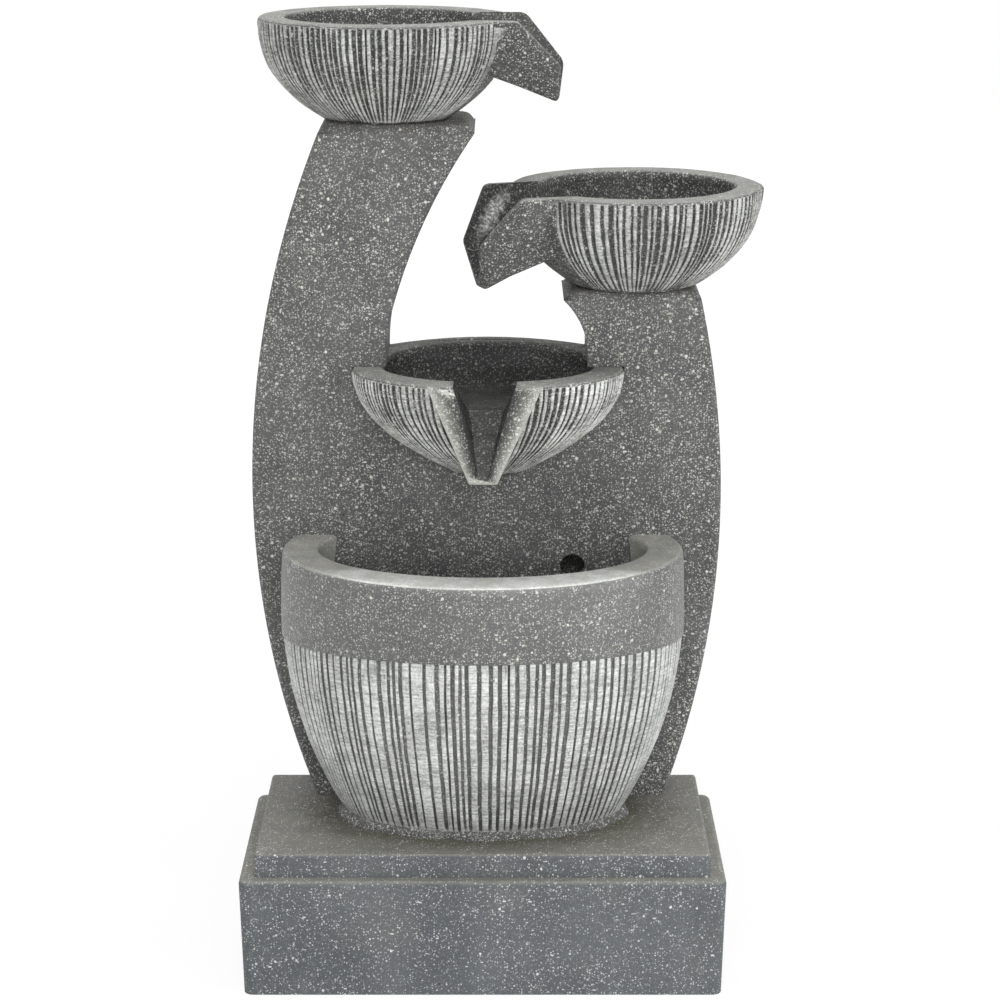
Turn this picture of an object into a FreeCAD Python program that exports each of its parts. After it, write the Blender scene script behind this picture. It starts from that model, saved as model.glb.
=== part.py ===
import FreeCAD, Part
import Sketcher
import math
import os
import re

# Tiered garden fountain: a plinth, a two-armed hollow column, a basin, three spouted bowls and a pump.
# Millimetres. X runs to the right, Y to the back and Z up. Zero is the middle of the plinth's underside.

SIZES = {
    # Plinth
    "plinth_width": 400, "plinth_depth": 200, "plinth_height": 101, "plinth_draft": 1.4,
    "plinth_corner": 8, "plinth_edge": 4, "plinth_wall": 14, "base_plate": 6, "base_lip": 6,
    "tier_side_inset": 13, "tier_front_inset": 10, "tier_height": 20, "tier_edge": 3,
    # Column, seen from the front; half widths are measured from the middle plane
    "column_front": 45, "column_back": 98, "column_lean": 5, "column_wall": 9, "back_cover": 9,
    "column_edge": 4,
    "foot_left": 144, "foot_right": 156, "left_side_radius": 800, "right_side_radius": 822,
    "left_arm_top": 699, "left_arm_outer": 131, "left_arm_inner": 6,
    "right_arm_top": 563, "right_arm_outer": 178, "right_arm_inner": 66,
    "window_left": 79, "window_left_low": 511, "window_left_turn": 170, "window_left_mid": 73,
    "window_left_bend": 555, "window_left_radius": 478, "window_right": 86, "window_right_bend": 514,
    "window_right_radius": 66, "front_saddle": 498, "back_saddle": 508, "back_saddle_radius": 520,
    "arm_top_share": 1.8,
    # Basin
    "basin_rim": 361, "basin_belly": 300, "basin_forward": 36, "basin_foot_half": 114,
    "basin_foot_reach": 60, "basin_belly_half": 167, "basin_belly_reach": 124, "basin_rim_half": 164.5,
    "basin_rim_reach": 121, "basin_curve": 0.8, "basin_wall_half": 30, "basin_wall_reach": 35,
    "basin_floor": 16, "basin_floor_half": 92, "basin_floor_reach": 36, "bead_width": 11, "bead_height": 9,
    # Upper bowls, which share one shape
    "bowl_radius": 102, "bowl_height": 82, "bowl_foot_half": 50, "bowl_foot_reach": 44,
    "bowl_curve": 2.55, "bowl_wall": 22, "bowl_cavity": 54, "bowl_floor_half": 46,
    "bowl_y": 46, "top_bowl_x": -78, "right_bowl_x": 125, "collar_height": 7, "collar_inset": 1,
    "collar_corner": 14,
    # Middle bowl
    "mid_x": 4.5, "mid_y": 10, "mid_rim": 507, "mid_half": 111, "mid_reach": 78.6, "mid_height": 87,
    "mid_foot_half": 26, "mid_foot_reach": 20, "mid_curve": 2.2, "mid_cavity": 28,
    "mid_side_wall": 25, "mid_front_wall": 25, "mid_back_wall": 9, "mid_floor_half": 64,
    "mid_floor_reach": 45, "bond": 0.3,
    # Spouts: drops are measured from the rim, ways out from the rim and halves from the spout's middle
    "spout_root_inset": 24, "channel_inset": 42, "channel_low_half": 14, "channel_tip_half": 4,
    "top_spout_turn": 85, "top_spout_length": 41, "top_spout_level": 8, "top_root_half": 46,
    "top_root_low_half": 30, "top_root_drop": 42, "top_end_half": 23, "top_end_drop": 37, "top_tip_half": 8,
    "top_tip_drop": 68, "top_channel_half": 40, "top_channel_drop": 45, "top_channel_end_half": 18,
    "top_spout_floor": 7,
    "right_spout_turn": -70, "right_spout_length": 39, "right_spout_level": 13, "right_root_half": 50,
    "right_root_low_half": 30, "right_root_drop": 51, "right_end_half": 23, "right_end_drop": 41,
    "right_tip_half": 6, "right_tip_drop": 78, "right_channel_half": 46, "right_channel_drop": 48,
    "right_channel_end_half": 18, "right_spout_floor": 7,
    "mid_spout_turn": -2, "mid_spout_length": 25, "mid_spout_level": -4, "mid_root_half": 44,
    "mid_root_low_half": 22, "mid_root_drop": 55, "mid_end_half": 13.5, "mid_end_drop": 66,
    "mid_tip_half": 11, "mid_tip_drop": 72.5, "mid_channel_half": 30, "mid_channel_drop": 27.5,
    "mid_channel_end_half": 5, "mid_spout_floor": 3.5,
    # Openings and fittings in the column
    "cable_hole_x": 75, "cable_hole_z": 333, "cable_hole_radius": 10.5,
    "plug_x": -4.5, "plug_z": 485, "plug_radius": 2.8, "plug_head_radius": 3.7, "plug_head": 1.2,
    "door_width": 130, "door_height": 160, "door_z": 230, "door_corner": 10, "door_lap": 10,
    "door_plate": 5, "door_seal": 1.5, "door_clearance": 0.5, "pull_width": 60, "pull_height": 12,
    "pull_depth": 14, "pull_edge": 4,
    "rear_hole_x": 110, "rear_hole_z": 150, "rear_hole_radius": 7, "grommet_lip": 3,
    "grommet_lip_thick": 2, "grommet_bore": 3.5, "passage": 70,
    "screw_radius": 1.9, "screw_head_radius": 3.6, "screw_head": 2.2, "screw_length": 24,
    "screw_clearance": 0.1, "screw_low": 170, "screw_pitch": 140,
    # Hose and top inlet
    "hose_radius": 5.5, "hose_bore": 4.1, "hose_ease": 1.4, "hose_hole_z": 270, "barb_radius": 3.9,
    "water_bore": 2.6,
    "stem_radius": 8, "stem_clearance": 0.3, "flange_radius": 15, "flange": 3, "inlet_seal": 2,
    "nut_radius": 14, "nut": 7, "barb_length": 20, "hose_lap": 18,
    "hose_side_x": 145, "hose_side_y": 60, "hose_low_z": 400, "hose_high_z": 535, "hose_top_z": 630,
    # Pump, whose axis runs along X
    "pump_x": 12, "pump_y": 11, "pump_width": 40, "pump_length": 40, "pump_height": 42,
    "pump_foot": 6, "pump_corner": 5, "volute_length": 18, "chamber_radius": 15, "chamber_depth": 10,
    "inlet_radius": 6, "well_radius": 11.5, "well_depth": 30, "rotor_gap": 0.6, "magnet_radius": 10.5,
    "magnet_length": 24, "impeller_radius": 13.5, "impeller_length": 8, "hub_radius": 4.5, "blade": 1.6,
    "shaft_radius": 1.5, "shaft_clearance": 0.05, "bush_radius": 3.6, "bush_length": 3, "bush_wall": 1,
    "spider": 2.4,
    "intake_length": 20, "intake_wall": 2, "intake_clearance": 0.3, "intake_slot": 3,
    "intake_slot_pitch": 6, "intake_slot_length": 26, "intake_lap": 6, "sponge": 6, "dial_radius": 8,
    "dial": 4, "dial_spindle": 2.5, "dial_grip": 2, "dial_gap": 0.3, "dial_clip": 1.5, "barb_seat": 4.5,
    "barb_socket": 5, "gland_radius": 4.5, "gland_length": 8, "gland_bore": 2.6, "pump_foot_radius": 6,
    "pump_foot_inset": 8,
}

BLADES = 6
SECTIONS = 7
UPRIGHT = FreeCAD.Rotation(FreeCAD.Vector(1, 0, 0), 90)
BEND_SHARE = 0.45
AXES = {
    "X": FreeCAD.Rotation(FreeCAD.Vector(0, 1, 0), 90),
    "Y": FreeCAD.Rotation(FreeCAD.Vector(1, 0, 0), -90),
    "Z": FreeCAD.Rotation(),
}

doc = FreeCAD.newDocument("TieredFountain")
sheet = doc.addObject("Spreadsheet::Sheet", "Sizes")
for row, (alias, size) in enumerate(SIZES.items(), start=1):
    sheet.set(f"A{row}", alias)
    sheet.set(f"B{row}", str(size))
    sheet.setAlias(f"B{row}", alias)
doc.recompute()


# Names, expressions and values

def ex(text):
    """Put the sheet's name before each alias in an expression."""
    def named(word):
        return "Sizes." + word.group() if word.group() in SIZES else word.group()
    return re.sub(r"[a-z_]+", named, str(text))


def val(text):
    """Return the number that an expression stands for."""
    return float(sheet.evalExpression(ex(text)))


def bind(item, **sizes):
    """Bind properties of a document object to expressions."""
    for name, text in sizes.items():
        item.setExpression(name, ex(text))
    return item


def place(item, x, y, z, turn=None):
    """Bind the position of an object and set its turn."""
    if turn is not None:
        item.Placement = FreeCAD.Placement(FreeCAD.Vector(), turn)
    for axis, text in zip("xyz", (x, y, z)):
        item.setExpression("Placement.Base." + axis, ex(text))
    return item


# Solids

def box(name, x, y, z, dx, dy, dz, turn=None):
    """Make a box from its low corner."""
    item = bind(doc.addObject("Part::Box", name), Length=dx, Width=dy, Height=dz)
    return place(item, x, y, z, turn)


def cylinder(name, x, y, z, radius, height, axis="Z"):
    """Make a cylinder from the middle of its low end."""
    item = bind(doc.addObject("Part::Cylinder", name), Radius=radius, Height=height)
    return place(item, x, y, z, AXES[axis])


def cone(name, x, y, z, low, high, height, axis="Z"):
    """Make a cone from the middle of its low end."""
    item = bind(doc.addObject("Part::Cone", name), Radius1=low, Radius2=high, Height=height)
    return place(item, x, y, z, AXES[axis])


def fuse(name, *items):
    """Join solids."""
    item = doc.addObject("Part::MultiFuse", name)
    item.Shapes = list(items)
    item.Refine = True
    return item


def cut(name, base, *tools, refine=True):
    """Cut solids from another, one after the other, and join faces that run on unless told not to."""
    for number, tool in enumerate(tools, start=1):
        item = doc.addObject("Part::Cut", name if number == len(tools) else f"{name}_{number}")
        item.Base = base
        item.Tool = tool
        item.Refine = refine
        base = item
    return base


def common(name, one, other):
    """Keep what two solids share."""
    item = doc.addObject("Part::Common", name)
    item.Base = one
    item.Tool = other
    return item


def group(name, items):
    """Hold separate solids of one kind in one node."""
    item = doc.addObject("Part::Compound", name)
    item.Links = list(items)
    return item


def rounded(name, base, radius, wanted):
    """Round the edges that a test picks out."""
    doc.recompute([base])
    item = doc.addObject("Part::Fillet", name)
    item.Base = base
    size = val(radius)
    edges = enumerate(base.Shape.Edges, start=1)
    item.Edges = [(number, size, size) for number, edge in edges if wanted(edge)]
    return item


def outline(name, points, x="0", y="0", z="0", turn=UPRIGHT):
    """Draw a closed outline; a point may give the radius of its arc to the next, minus for the other side."""
    item = doc.addObject("Sketcher::SketchObject", name)
    corners = [FreeCAD.Vector(val(point[0]), val(point[1]), 0) for point in points]
    for index, point in enumerate(points):
        start, end = corners[index], corners[(index + 1) % len(points)]
        if len(point) == 2:
            item.addGeometry(Part.LineSegment(start, end), False)
        else:
            side = -1 if point[2].startswith("-") else 1
            radius = val(point[2].lstrip("-"))
            chord = end - start
            across = FreeCAD.Vector(chord.y, -chord.x, 0).normalize()
            sagitta = radius - math.sqrt(radius ** 2 - (chord.Length / 2) ** 2)
            middle = start + chord * 0.5 + across * side * sagitta
            item.addGeometry(Part.Arc(start, middle, end), False)
    arcs_run_back = [side_runs_back(point) for point in points]
    for index, point in enumerate(points):
        start_end = 2 if arcs_run_back[index] else 1
        far_end = 2 if start_end == 1 else 1
        following = (index + 1) % len(points)
        next_start = 2 if arcs_run_back[following] else 1
        item.addConstraint(Sketcher.Constraint("Coincident", index, far_end, following, next_start))
        for kind, text in zip(("DistanceX", "DistanceY"), point[:2]):
            number = item.addConstraint(Sketcher.Constraint(kind, -1, 1, index, start_end, val(text)))
            item.renameConstraint(number, f"{kind}{index}")
            item.setExpression(f"Constraints.{kind}{index}", ex(text))
        if len(point) == 3:
            text = point[2].lstrip("-")
            number = item.addConstraint(Sketcher.Constraint("Radius", index, val(text)))
            item.renameConstraint(number, f"Radius{index}")
            item.setExpression(f"Constraints.Radius{index}", ex(text))
    return place(item, x, y, z, turn)


def side_runs_back(point):
    """Tell whether a sketch keeps this arc's ends the other way round."""
    return len(point) == 3 and point[2].startswith("-")


def extrude(name, sketch, direction, length):
    """Push an outline along a direction."""
    item = bind(doc.addObject("Part::Extrusion", name), LengthFwd=length)
    item.Base = sketch
    item.DirMode = "Custom"
    item.Dir = FreeCAD.Vector(*direction)
    item.Solid = True
    return item


def loft(name, sections, ruled=False):
    """Skin a solid over closed sections."""
    item = doc.addObject("Part::Loft", name)
    item.Sections = sections
    item.Solid = True
    item.Ruled = ruled
    return item


def vessel(name, levels, seam=0):
    """Skin a solid over level ellipses, each given as x, y, z, half width and half depth."""
    rings = []
    for number, (x, y, z, half, reach) in enumerate(levels):
        ring = doc.addObject("Part::Ellipse", f"{name}_ring_{number}")
        wide = val(half) >= val(reach)
        bind(ring, MajorRadius=half if wide else reach, MinorRadius=reach if wide else half)
        rings.append(place(ring, x, y, z, FreeCAD.Rotation(seam if wide else seam + 90, 0, 0)))
    return loft(name, rings)


def steps(count=SECTIONS):
    """Return shares of a height, closer together towards the end."""
    return [round(math.sin(math.pi / 2 * index / (count - 1)), 3) for index in range(count)]


parts = {}


def keep(node, item):
    """Give a finished sub-part its name."""
    item.Label = node
    parts[node] = item
    return item


# Levels and planes that pieces share
TIER_TOP = "(plinth_height + tier_height)"
COVER_FACE = "(column_back - back_cover)"
TOP_SEAT = "(left_arm_top + collar_height)"
RIGHT_SEAT = "(right_arm_top + collar_height)"
TOP_RIM = f"({TOP_SEAT} + bowl_height)"
RIGHT_RIM = f"({RIGHT_SEAT} + bowl_height)"
BASE_X = "(plinth_width / 2 - plinth_wall - tier_side_inset + base_lip)"
BASE_Y = "(plinth_depth / 2 - plinth_wall - tier_front_inset + base_lip)"
INLET_Z = f"({TOP_RIM} - bowl_cavity)"
NUT_LOW = "(left_arm_top - column_wall - nut)"
PUMP_LOW = f"({TIER_TOP} + basin_floor + pump_foot)"
PUMP_TOP = f"({PUMP_LOW} + pump_height)"
PUMP_AXIS = f"({PUMP_LOW} + pump_height / 2)"
PUMP_FRONT = "(pump_x - volute_length)"
HOSE_X = "(pump_x - chamber_depth / 2)"
MID_HOLLOW_Y = "(mid_y + (mid_front_wall - mid_back_wall) / 2)"
MID_HOLLOW_REACH = "(mid_reach - (mid_front_wall + mid_back_wall) / 2)"
PLUG_SHARE = "((mid_rim - plug_z) / mid_cavity)"
PLUG_Y = (f"({MID_HOLLOW_Y} + {MID_HOLLOW_REACH}"
          f" - ({MID_HOLLOW_REACH} - mid_floor_reach) * {PLUG_SHARE}^mid_curve)")


def front_at(z):
    """Return where the leaning front of the column stands at a height."""
    return f"(column_front - ({z} - {TIER_TOP}) * tan(column_lean))"


def behind_front(name, set_back="0"):
    """Make the block of space behind the column's leaning front, or behind a plane set back from it."""
    y = f"column_front + {set_back} / cos(column_lean) + plinth_width * sin(column_lean)"
    z = f"{TIER_TOP} - plinth_width * cos(column_lean)"
    turn = FreeCAD.Rotation(FreeCAD.Vector(1, 0, 0), val("column_lean"))
    return box(name, "-plinth_width", y, z, "2 * plinth_width", "2 * plinth_width", "4 * plinth_width", turn)


# Plinth and its base plate

def base_box(name, z, shrink, height):
    """Make a level box round the plinth's middle, a way inside the rebate for the base plate."""
    return box(name, f"-({BASE_X} - {shrink})", f"-({BASE_Y} - {shrink})", z,
               f"2 * ({BASE_X} - {shrink})", f"2 * ({BASE_Y} - {shrink})", height)


def make_plinth():
    """Cast the two-step plinth as a hollow shell with a lip for the base plate."""
    half_x = "(plinth_width / 2 - plinth_height * tan(plinth_draft))"
    half_y = "(plinth_depth / 2 - plinth_height * tan(plinth_draft))"
    corners = [(f"-{half_x}", f"-{half_y}"), (half_x, f"-{half_y}"), (half_x, half_y), (f"-{half_x}", half_y)]
    foot = outline("plinth_foot", corners, turn=FreeCAD.Rotation())
    block = bind(extrude("plinth_block", foot, (0, 0, 1), "plinth_height"), TaperAngle="plinth_draft")
    upright = rounded("plinth_upright", block, "plinth_corner",
                      lambda edge: abs(edge.tangentAt(edge.FirstParameter).z) > 0.9)
    top = val("plinth_height")
    eased = rounded("plinth_eased", upright, "plinth_edge", lambda edge: edge.BoundBox.ZMin > top - 0.01)
    tier = box("plinth_tier", "-plinth_width / 2 + tier_side_inset", "-plinth_depth / 2 + tier_front_inset",
               "plinth_height - plinth_edge", "plinth_width - 2 * tier_side_inset",
               "plinth_depth - tier_front_inset - plinth_edge", "tier_height + plinth_edge")
    tier_low = top - val("plinth_edge")
    soft_tier = rounded("plinth_soft_tier", tier, "tier_edge",
                        lambda edge: edge.BoundBox.ZMax > tier_low + 0.01)
    hollow = base_box("plinth_hollow", "-base_plate", "base_lip", f"{TIER_TOP} - plinth_wall + base_plate")
    rebate = base_box("plinth_rebate", "-base_plate", "0", "2 * base_plate")
    keep("plinth", cut("plinth_cast", fuse("plinth_mass", eased, soft_tier), hollow, rebate))
    keep("base_plate", base_box("base_plate_board", "0", "bond", "base_plate"))


# Column

def side_x(side, z):
    """Return how far a bowed side of the column stands from the middle plane at a height."""
    foot, top = f"foot_{side}", f"{side}_arm_outer"
    low, high, radius = TIER_TOP, f"{side}_arm_top", f"{side}_side_radius"
    rise = f"({high} - {low})"
    chord = f"sqrt({rise}^2 + ({top} - {foot})^2)"
    reach = f"sqrt({radius}^2 - ({chord} / 2)^2)"
    centre_x = f"(({foot} + {top}) / 2 - {reach} * {rise} / {chord})"
    centre_z = f"(({low} + {high}) / 2 + {reach} * ({top} - {foot}) / {chord})"
    return f"({centre_x} + sqrt({radius}^2 - ({z} - {centre_z})^2))"


def column_outline(name, saddle, inset="0", saddle_radius=None, y="-plinth_depth"):
    """Draw the column from the front, or its hollow: two bowed sides, two arms and the window between."""
    low, saddle_z = f"({TIER_TOP} + {inset})", f"({saddle} - {inset})"
    right_top, left_top = f"(right_arm_top - {inset})", f"(left_arm_top - {inset})"
    saddle_start = (f"window_right + {inset}", saddle_z)
    if saddle_radius is not None:
        saddle_start += (saddle_radius,)
    return outline(name, [
        (f"-({side_x('left', low)} - {inset})", low),
        (f"{side_x('right', low)} - {inset}", low, f"right_side_radius - {inset}"),
        (f"{side_x('right', right_top)} - {inset}", right_top),
        (f"right_arm_inner + arm_top_share * {inset}", right_top, f"-(window_right_radius + {inset})"),
        (f"window_right + {inset}", "window_right_bend"), saddle_start,
        (f"-(window_left + {inset})", saddle_z),
        (f"-(window_left + {inset})", "window_left_low", f"-(window_left_turn + {inset})"),
        (f"-(window_left_mid + {inset})", "window_left_bend", f"-(window_left_radius + {inset})"),
        (f"-(left_arm_inner + arm_top_share * {inset})", left_top),
        (f"-({side_x('left', left_top)} - {inset})", left_top, f"left_side_radius - {inset}")], y=y)


def screw_places():
    """Return where the back cover's screws stand, along the middle of the column's side walls."""
    found = []
    for side, sign, count in (("left", "-", 4), ("right", "", 3)):
        for number in range(count):
            level = f"(screw_low + {number} * screw_pitch)"
            found.append((f"{sign}({side_x(side, level)} - column_wall / 2)", level))
    return found


def mid_levels(grow="0"):
    """Return the outer levels of the middle bowl, or of its seat, which is a bonding gap larger."""
    levels = []
    for share in steps():
        z = f"mid_rim - mid_height * {share} + {grow} * {1 if share == 0 else -share}"
        levels.append(("mid_x", "mid_y", z,
                       f"mid_half - (mid_half - mid_foot_half) * {share}^mid_curve + {grow}",
                       f"mid_reach - (mid_reach - mid_foot_reach) * {share}^mid_curve + {grow}"))
    return levels


def make_column():
    """Cast the hollow column, open at the back, with its seats and holes."""
    slab = extrude("column_slab", column_outline("column_front_view", "front_saddle"), (0, 1, 0),
                   f"plinth_depth + {COVER_FACE}")
    body = common("column_body", slab, behind_front("column_front_side"))
    front_foot = val("column_front")
    arm_rise = val("window_left_bend - front_saddle")
    soft = rounded("column_soft", body, "column_edge", lambda edge: edge.BoundBox.YMax < front_foot + 0.01
                   and edge.BoundBox.ZLength > arm_rise + 1)
    inner = column_outline("column_inner_view", "front_saddle", "column_wall")
    hollow = common("column_hollow", extrude("column_hollow_slab", inner, (0, 1, 0), "2 * plinth_depth"),
                    behind_front("column_inner_side", "column_wall"))
    seat = vessel("mid_seat", mid_levels("bond"))
    cable_hole = cylinder("column_cable_hole", "cable_hole_x", "0", "cable_hole_z", "cable_hole_radius",
                          "passage", "Y")
    hose_hole = cylinder("column_hose_hole", HOSE_X, "0", "hose_hole_z", "hose_radius + grommet_lip",
                         "passage", "Y")
    stem_hole = cylinder("column_stem_hole", "top_bowl_x", "bowl_y", "left_arm_top - 2 * column_wall",
                         "stem_radius + stem_clearance", "3 * column_wall")
    taps = [cylinder(f"column_tap_{number}", x, "column_back - screw_length", z,
                     "screw_radius + screw_clearance", "screw_length", "Y")
            for number, (x, z) in enumerate(screw_places())]
    keep("column_front_shell", cut("column_cast", soft, hollow, seat, cable_hole, hose_hole, stem_hole,
                                   group("column_taps", taps)))


# Basin and its bedding bead

def basin_half(share, what):
    """Return the basin's half width or reach at a share of the height from foot to belly."""
    return (f"(basin_foot_{what} + (basin_belly_{what} - basin_foot_{what})"
            f" * sin(90 * ({share}))^basin_curve)")


def basin_centre(z):
    """Return where the middle of the basin lies at a height, a way in front of the column."""
    return f"({front_at(z)} - basin_forward)"


def basin_levels(grow="0"):
    """Return the basin's outer levels, grown by a gap."""
    levels = []
    for share in (0, 0.1, 0.3, 0.55, 0.8, 1):
        z = f"({TIER_TOP} + (basin_belly - {TIER_TOP}) * {share})"
        levels.append(("0", basin_centre(z), z, f"{basin_half(share, 'half')} + {grow}",
                       f"{basin_half(share, 'reach')} + {grow}"))
    levels.append(("0", basin_centre("basin_rim"), "basin_rim", f"basin_rim_half + {grow}",
                   f"basin_rim_reach + {grow}"))
    return levels


def basin_inner_levels():
    """Return the levels of the basin's hollow, from its floor to just above the rim."""
    floor = f"({TIER_TOP} + basin_floor)"
    levels = []
    for share in (0, 0.15, 0.4, 0.7, 1):
        z = f"({floor} + (basin_belly - {floor}) * {share})"
        sizes = [f"(basin_floor_{what} + (basin_belly_{what} - basin_wall_{what} - basin_floor_{what})"
                 f" * sin(90 * {share})^basin_curve)" for what in ("half", "reach")]
        levels.append(("0", basin_centre(z), z, *sizes))
    for lift in (0, 2):
        levels.append(("0", basin_centre(f"(basin_rim + {lift})"), f"basin_rim + {lift}",
                       "basin_rim_half - basin_wall_half", "basin_rim_reach - basin_wall_reach"))
    return levels


def make_basin():
    """Cast the half-round basin that stands against the column, and the bead round its foot."""
    outer = vessel("basin_outer", basin_levels())
    inner = vessel("basin_inner", basin_inner_levels())
    keep("basin", cut("basin_cast", outer, behind_front("basin_back"), inner, refine=False))
    share = f"bead_height / (basin_belly - {TIER_TOP})"
    top = f"({TIER_TOP} + bead_height)"
    bead = vessel("bead_outer", [
        ("0", basin_centre(TIER_TOP), TIER_TOP, "basin_foot_half + bead_width",
         "basin_foot_reach + bead_width"),
        ("0", basin_centre(top), top, f"{basin_half(share, 'half')} + 2 * bond",
         f"{basin_half(share, 'reach')} + 2 * bond")])
    keep("basin_bead", cut("bead_cast", bead, vessel("bead_inner", basin_levels("bond")),
                           behind_front("bead_back")))


# Bowls

def bowl_levels(x, rim):
    """Return the outer levels of an upper bowl."""
    return [(x, "bowl_y", f"{rim} - bowl_height * {share}",
             f"bowl_radius - (bowl_radius - bowl_foot_half) * {share}^bowl_curve",
             f"bowl_radius - (bowl_radius - bowl_foot_reach) * {share}^bowl_curve") for share in steps()]


def bowl_inner_levels(x, rim):
    """Return the levels of an upper bowl's hollow, from just above the rim down."""
    rim_half = "(bowl_radius - bowl_wall)"
    levels = [(x, "bowl_y", f"{rim} + 2", rim_half, rim_half)]
    for share in steps():
        half = f"{rim_half} - ({rim_half} - bowl_floor_half) * {share}^bowl_curve"
        levels.append((x, "bowl_y", f"{rim} - bowl_cavity * {share}", half, half))
    return levels


def mid_inner_levels():
    """Return the levels of the middle bowl's hollow, set back so that its back wall is thin."""
    half = "(mid_half - mid_side_wall)"
    levels = [("mid_x", MID_HOLLOW_Y, "mid_rim + 2", half, MID_HOLLOW_REACH)]
    for share in steps():
        levels.append(("mid_x", MID_HOLLOW_Y, f"mid_rim - mid_cavity * {share}",
                       f"{half} - ({half} - mid_floor_half) * {share}^mid_curve",
                       f"{MID_HOLLOW_REACH} - ({MID_HOLLOW_REACH} - mid_floor_reach) * {share}^mid_curve"))
    return levels


def quad(name, x, y, rim, turn, out, high, half, low, low_half):
    """Draw a four-cornered section of a spout, square to its run and a way out from the bowl's axis."""
    corners = [(f"-({half})", high), (f"-({low_half})", low), (low_half, low), (half, high)]
    facing = FreeCAD.Rotation(FreeCAD.Vector(0, 0, 1), val(turn)).multiply(UPRIGHT)
    return outline(name, corners, f"{x} + sin({turn}) * ({out})", f"{y} - cos({turn}) * ({out})", rim,
                   facing)


def spout(name, x, y, rim, reach):
    """Make a pouring spout and the channel that is cut through it, as a pair of tools."""
    place_at = (x, y, rim, f"{name}_spout_turn")
    end = f"({reach} + {name}_spout_length)"
    run = f"((spout_root_inset + {name}_spout_level) / (spout_root_inset + {name}_spout_length))"
    outer = loft(name + "_spout", [
        quad(name + "_root", *place_at, f"{reach} - spout_root_inset", "0", f"{name}_root_half",
             f"-{name}_root_drop", f"{name}_root_low_half"),
        quad(name + "_neck", *place_at, f"{reach} + {name}_spout_level", "0", f"{name}_root_half",
             f"-({name}_root_drop + ({name}_tip_drop - {name}_root_drop) * {run})",
             f"{name}_root_low_half + ({name}_tip_half - {name}_root_low_half) * {run}"),
        quad(name + "_end", *place_at, end, f"-{name}_end_drop", f"{name}_end_half",
             f"-{name}_tip_drop", f"{name}_tip_half")], ruled=True)
    floor = f"({name}_tip_drop - {name}_spout_floor)"
    flare = f"(({name}_channel_end_half - channel_tip_half) / ({floor} - {name}_end_drop))"
    channel = loft(name + "_channel", [
        quad(name + "_channel_root", *place_at, f"{reach} - channel_inset", "2", f"{name}_channel_half",
             f"-{name}_channel_drop", "channel_low_half"),
        quad(name + "_channel_end", *place_at, f"{end} + 2", "2",
             f"{name}_channel_end_half + ({name}_end_drop + 2) * {flare}", f"-{floor}", "channel_tip_half")],
        ruled=True)
    return outer, channel


def make_upper_bowl(side, rim):
    """Cast one of the two bowls that stand on the arms; the top one has a hole for the inlet."""
    x = f"{side}_bowl_x"
    seam = 180 if side == "top" else 0
    lip, channel = spout(side, x, "bowl_y", rim, "bowl_radius")
    tools = [vessel(side + "_inner", bowl_inner_levels(x, rim), seam), channel]
    if side == "top":
        tools.append(cylinder("top_stem_hole", x, "bowl_y", "left_arm_top", "stem_radius + stem_clearance",
                              "collar_height + bowl_height"))
    mass = fuse(side + "_mass", vessel(side + "_outer", bowl_levels(x, rim), seam), lip)
    keep(side + "_bowl", cut(side + "_cast", mass, *tools))


def make_middle_bowl():
    """Cast the bowl that is bonded into the column, and the plug in its back wall."""
    lip, channel = spout("mid", "mid_x", "mid_y", "mid_rim", "mid_reach")
    hollow = vessel("mid_inner", mid_inner_levels())
    bore = cylinder("mid_plug_bore", "plug_x", PLUG_Y, "plug_z", "plug_radius + bond", "column_back", "Y")
    seat = cylinder("mid_plug_seat", "plug_x", f"{PLUG_Y} - 2 * plug_head", "plug_z",
                    "plug_head_radius + bond", "3 * plug_head", "Y")
    mass = fuse("mid_mass", vessel("mid_outer", mid_levels()), lip)
    keep("middle_bowl", cut("mid_cast", mass, hollow, channel, bore, seat))
    stem = cylinder("plug_stem", "plug_x", PLUG_Y, "plug_z", "plug_radius", f"{COVER_FACE} - {PLUG_Y} - bond",
                    "Y")
    cap = cylinder("plug_cap", "plug_x", PLUG_Y, "plug_z", "plug_head_radius", "plug_head", "Y")
    keep("wall_plug", fuse("plug_cast", stem, cap))


def make_collar(node, side, low, high):
    """Bed an upper bowl on its arm with a soft-cornered collar."""
    base = f"{side}_arm_top"
    front = f"({front_at(base)} + collar_inset)"
    slab = box(side + "_collar", f"{low} + collar_inset", front, base,
               f"{high} - ({low}) - 2 * collar_inset", f"column_back - {front}", "collar_height")
    soft = rounded(side + "_collar_soft", slab, "collar_corner", upright_edge)
    if side == "left":
        hole = cylinder("left_collar_hole", "top_bowl_x", "bowl_y", base, "stem_radius + stem_clearance",
                        "collar_height")
        soft = cut("left_collar_cast", soft, hole)
    keep(node, soft)


# Back of the column

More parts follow.
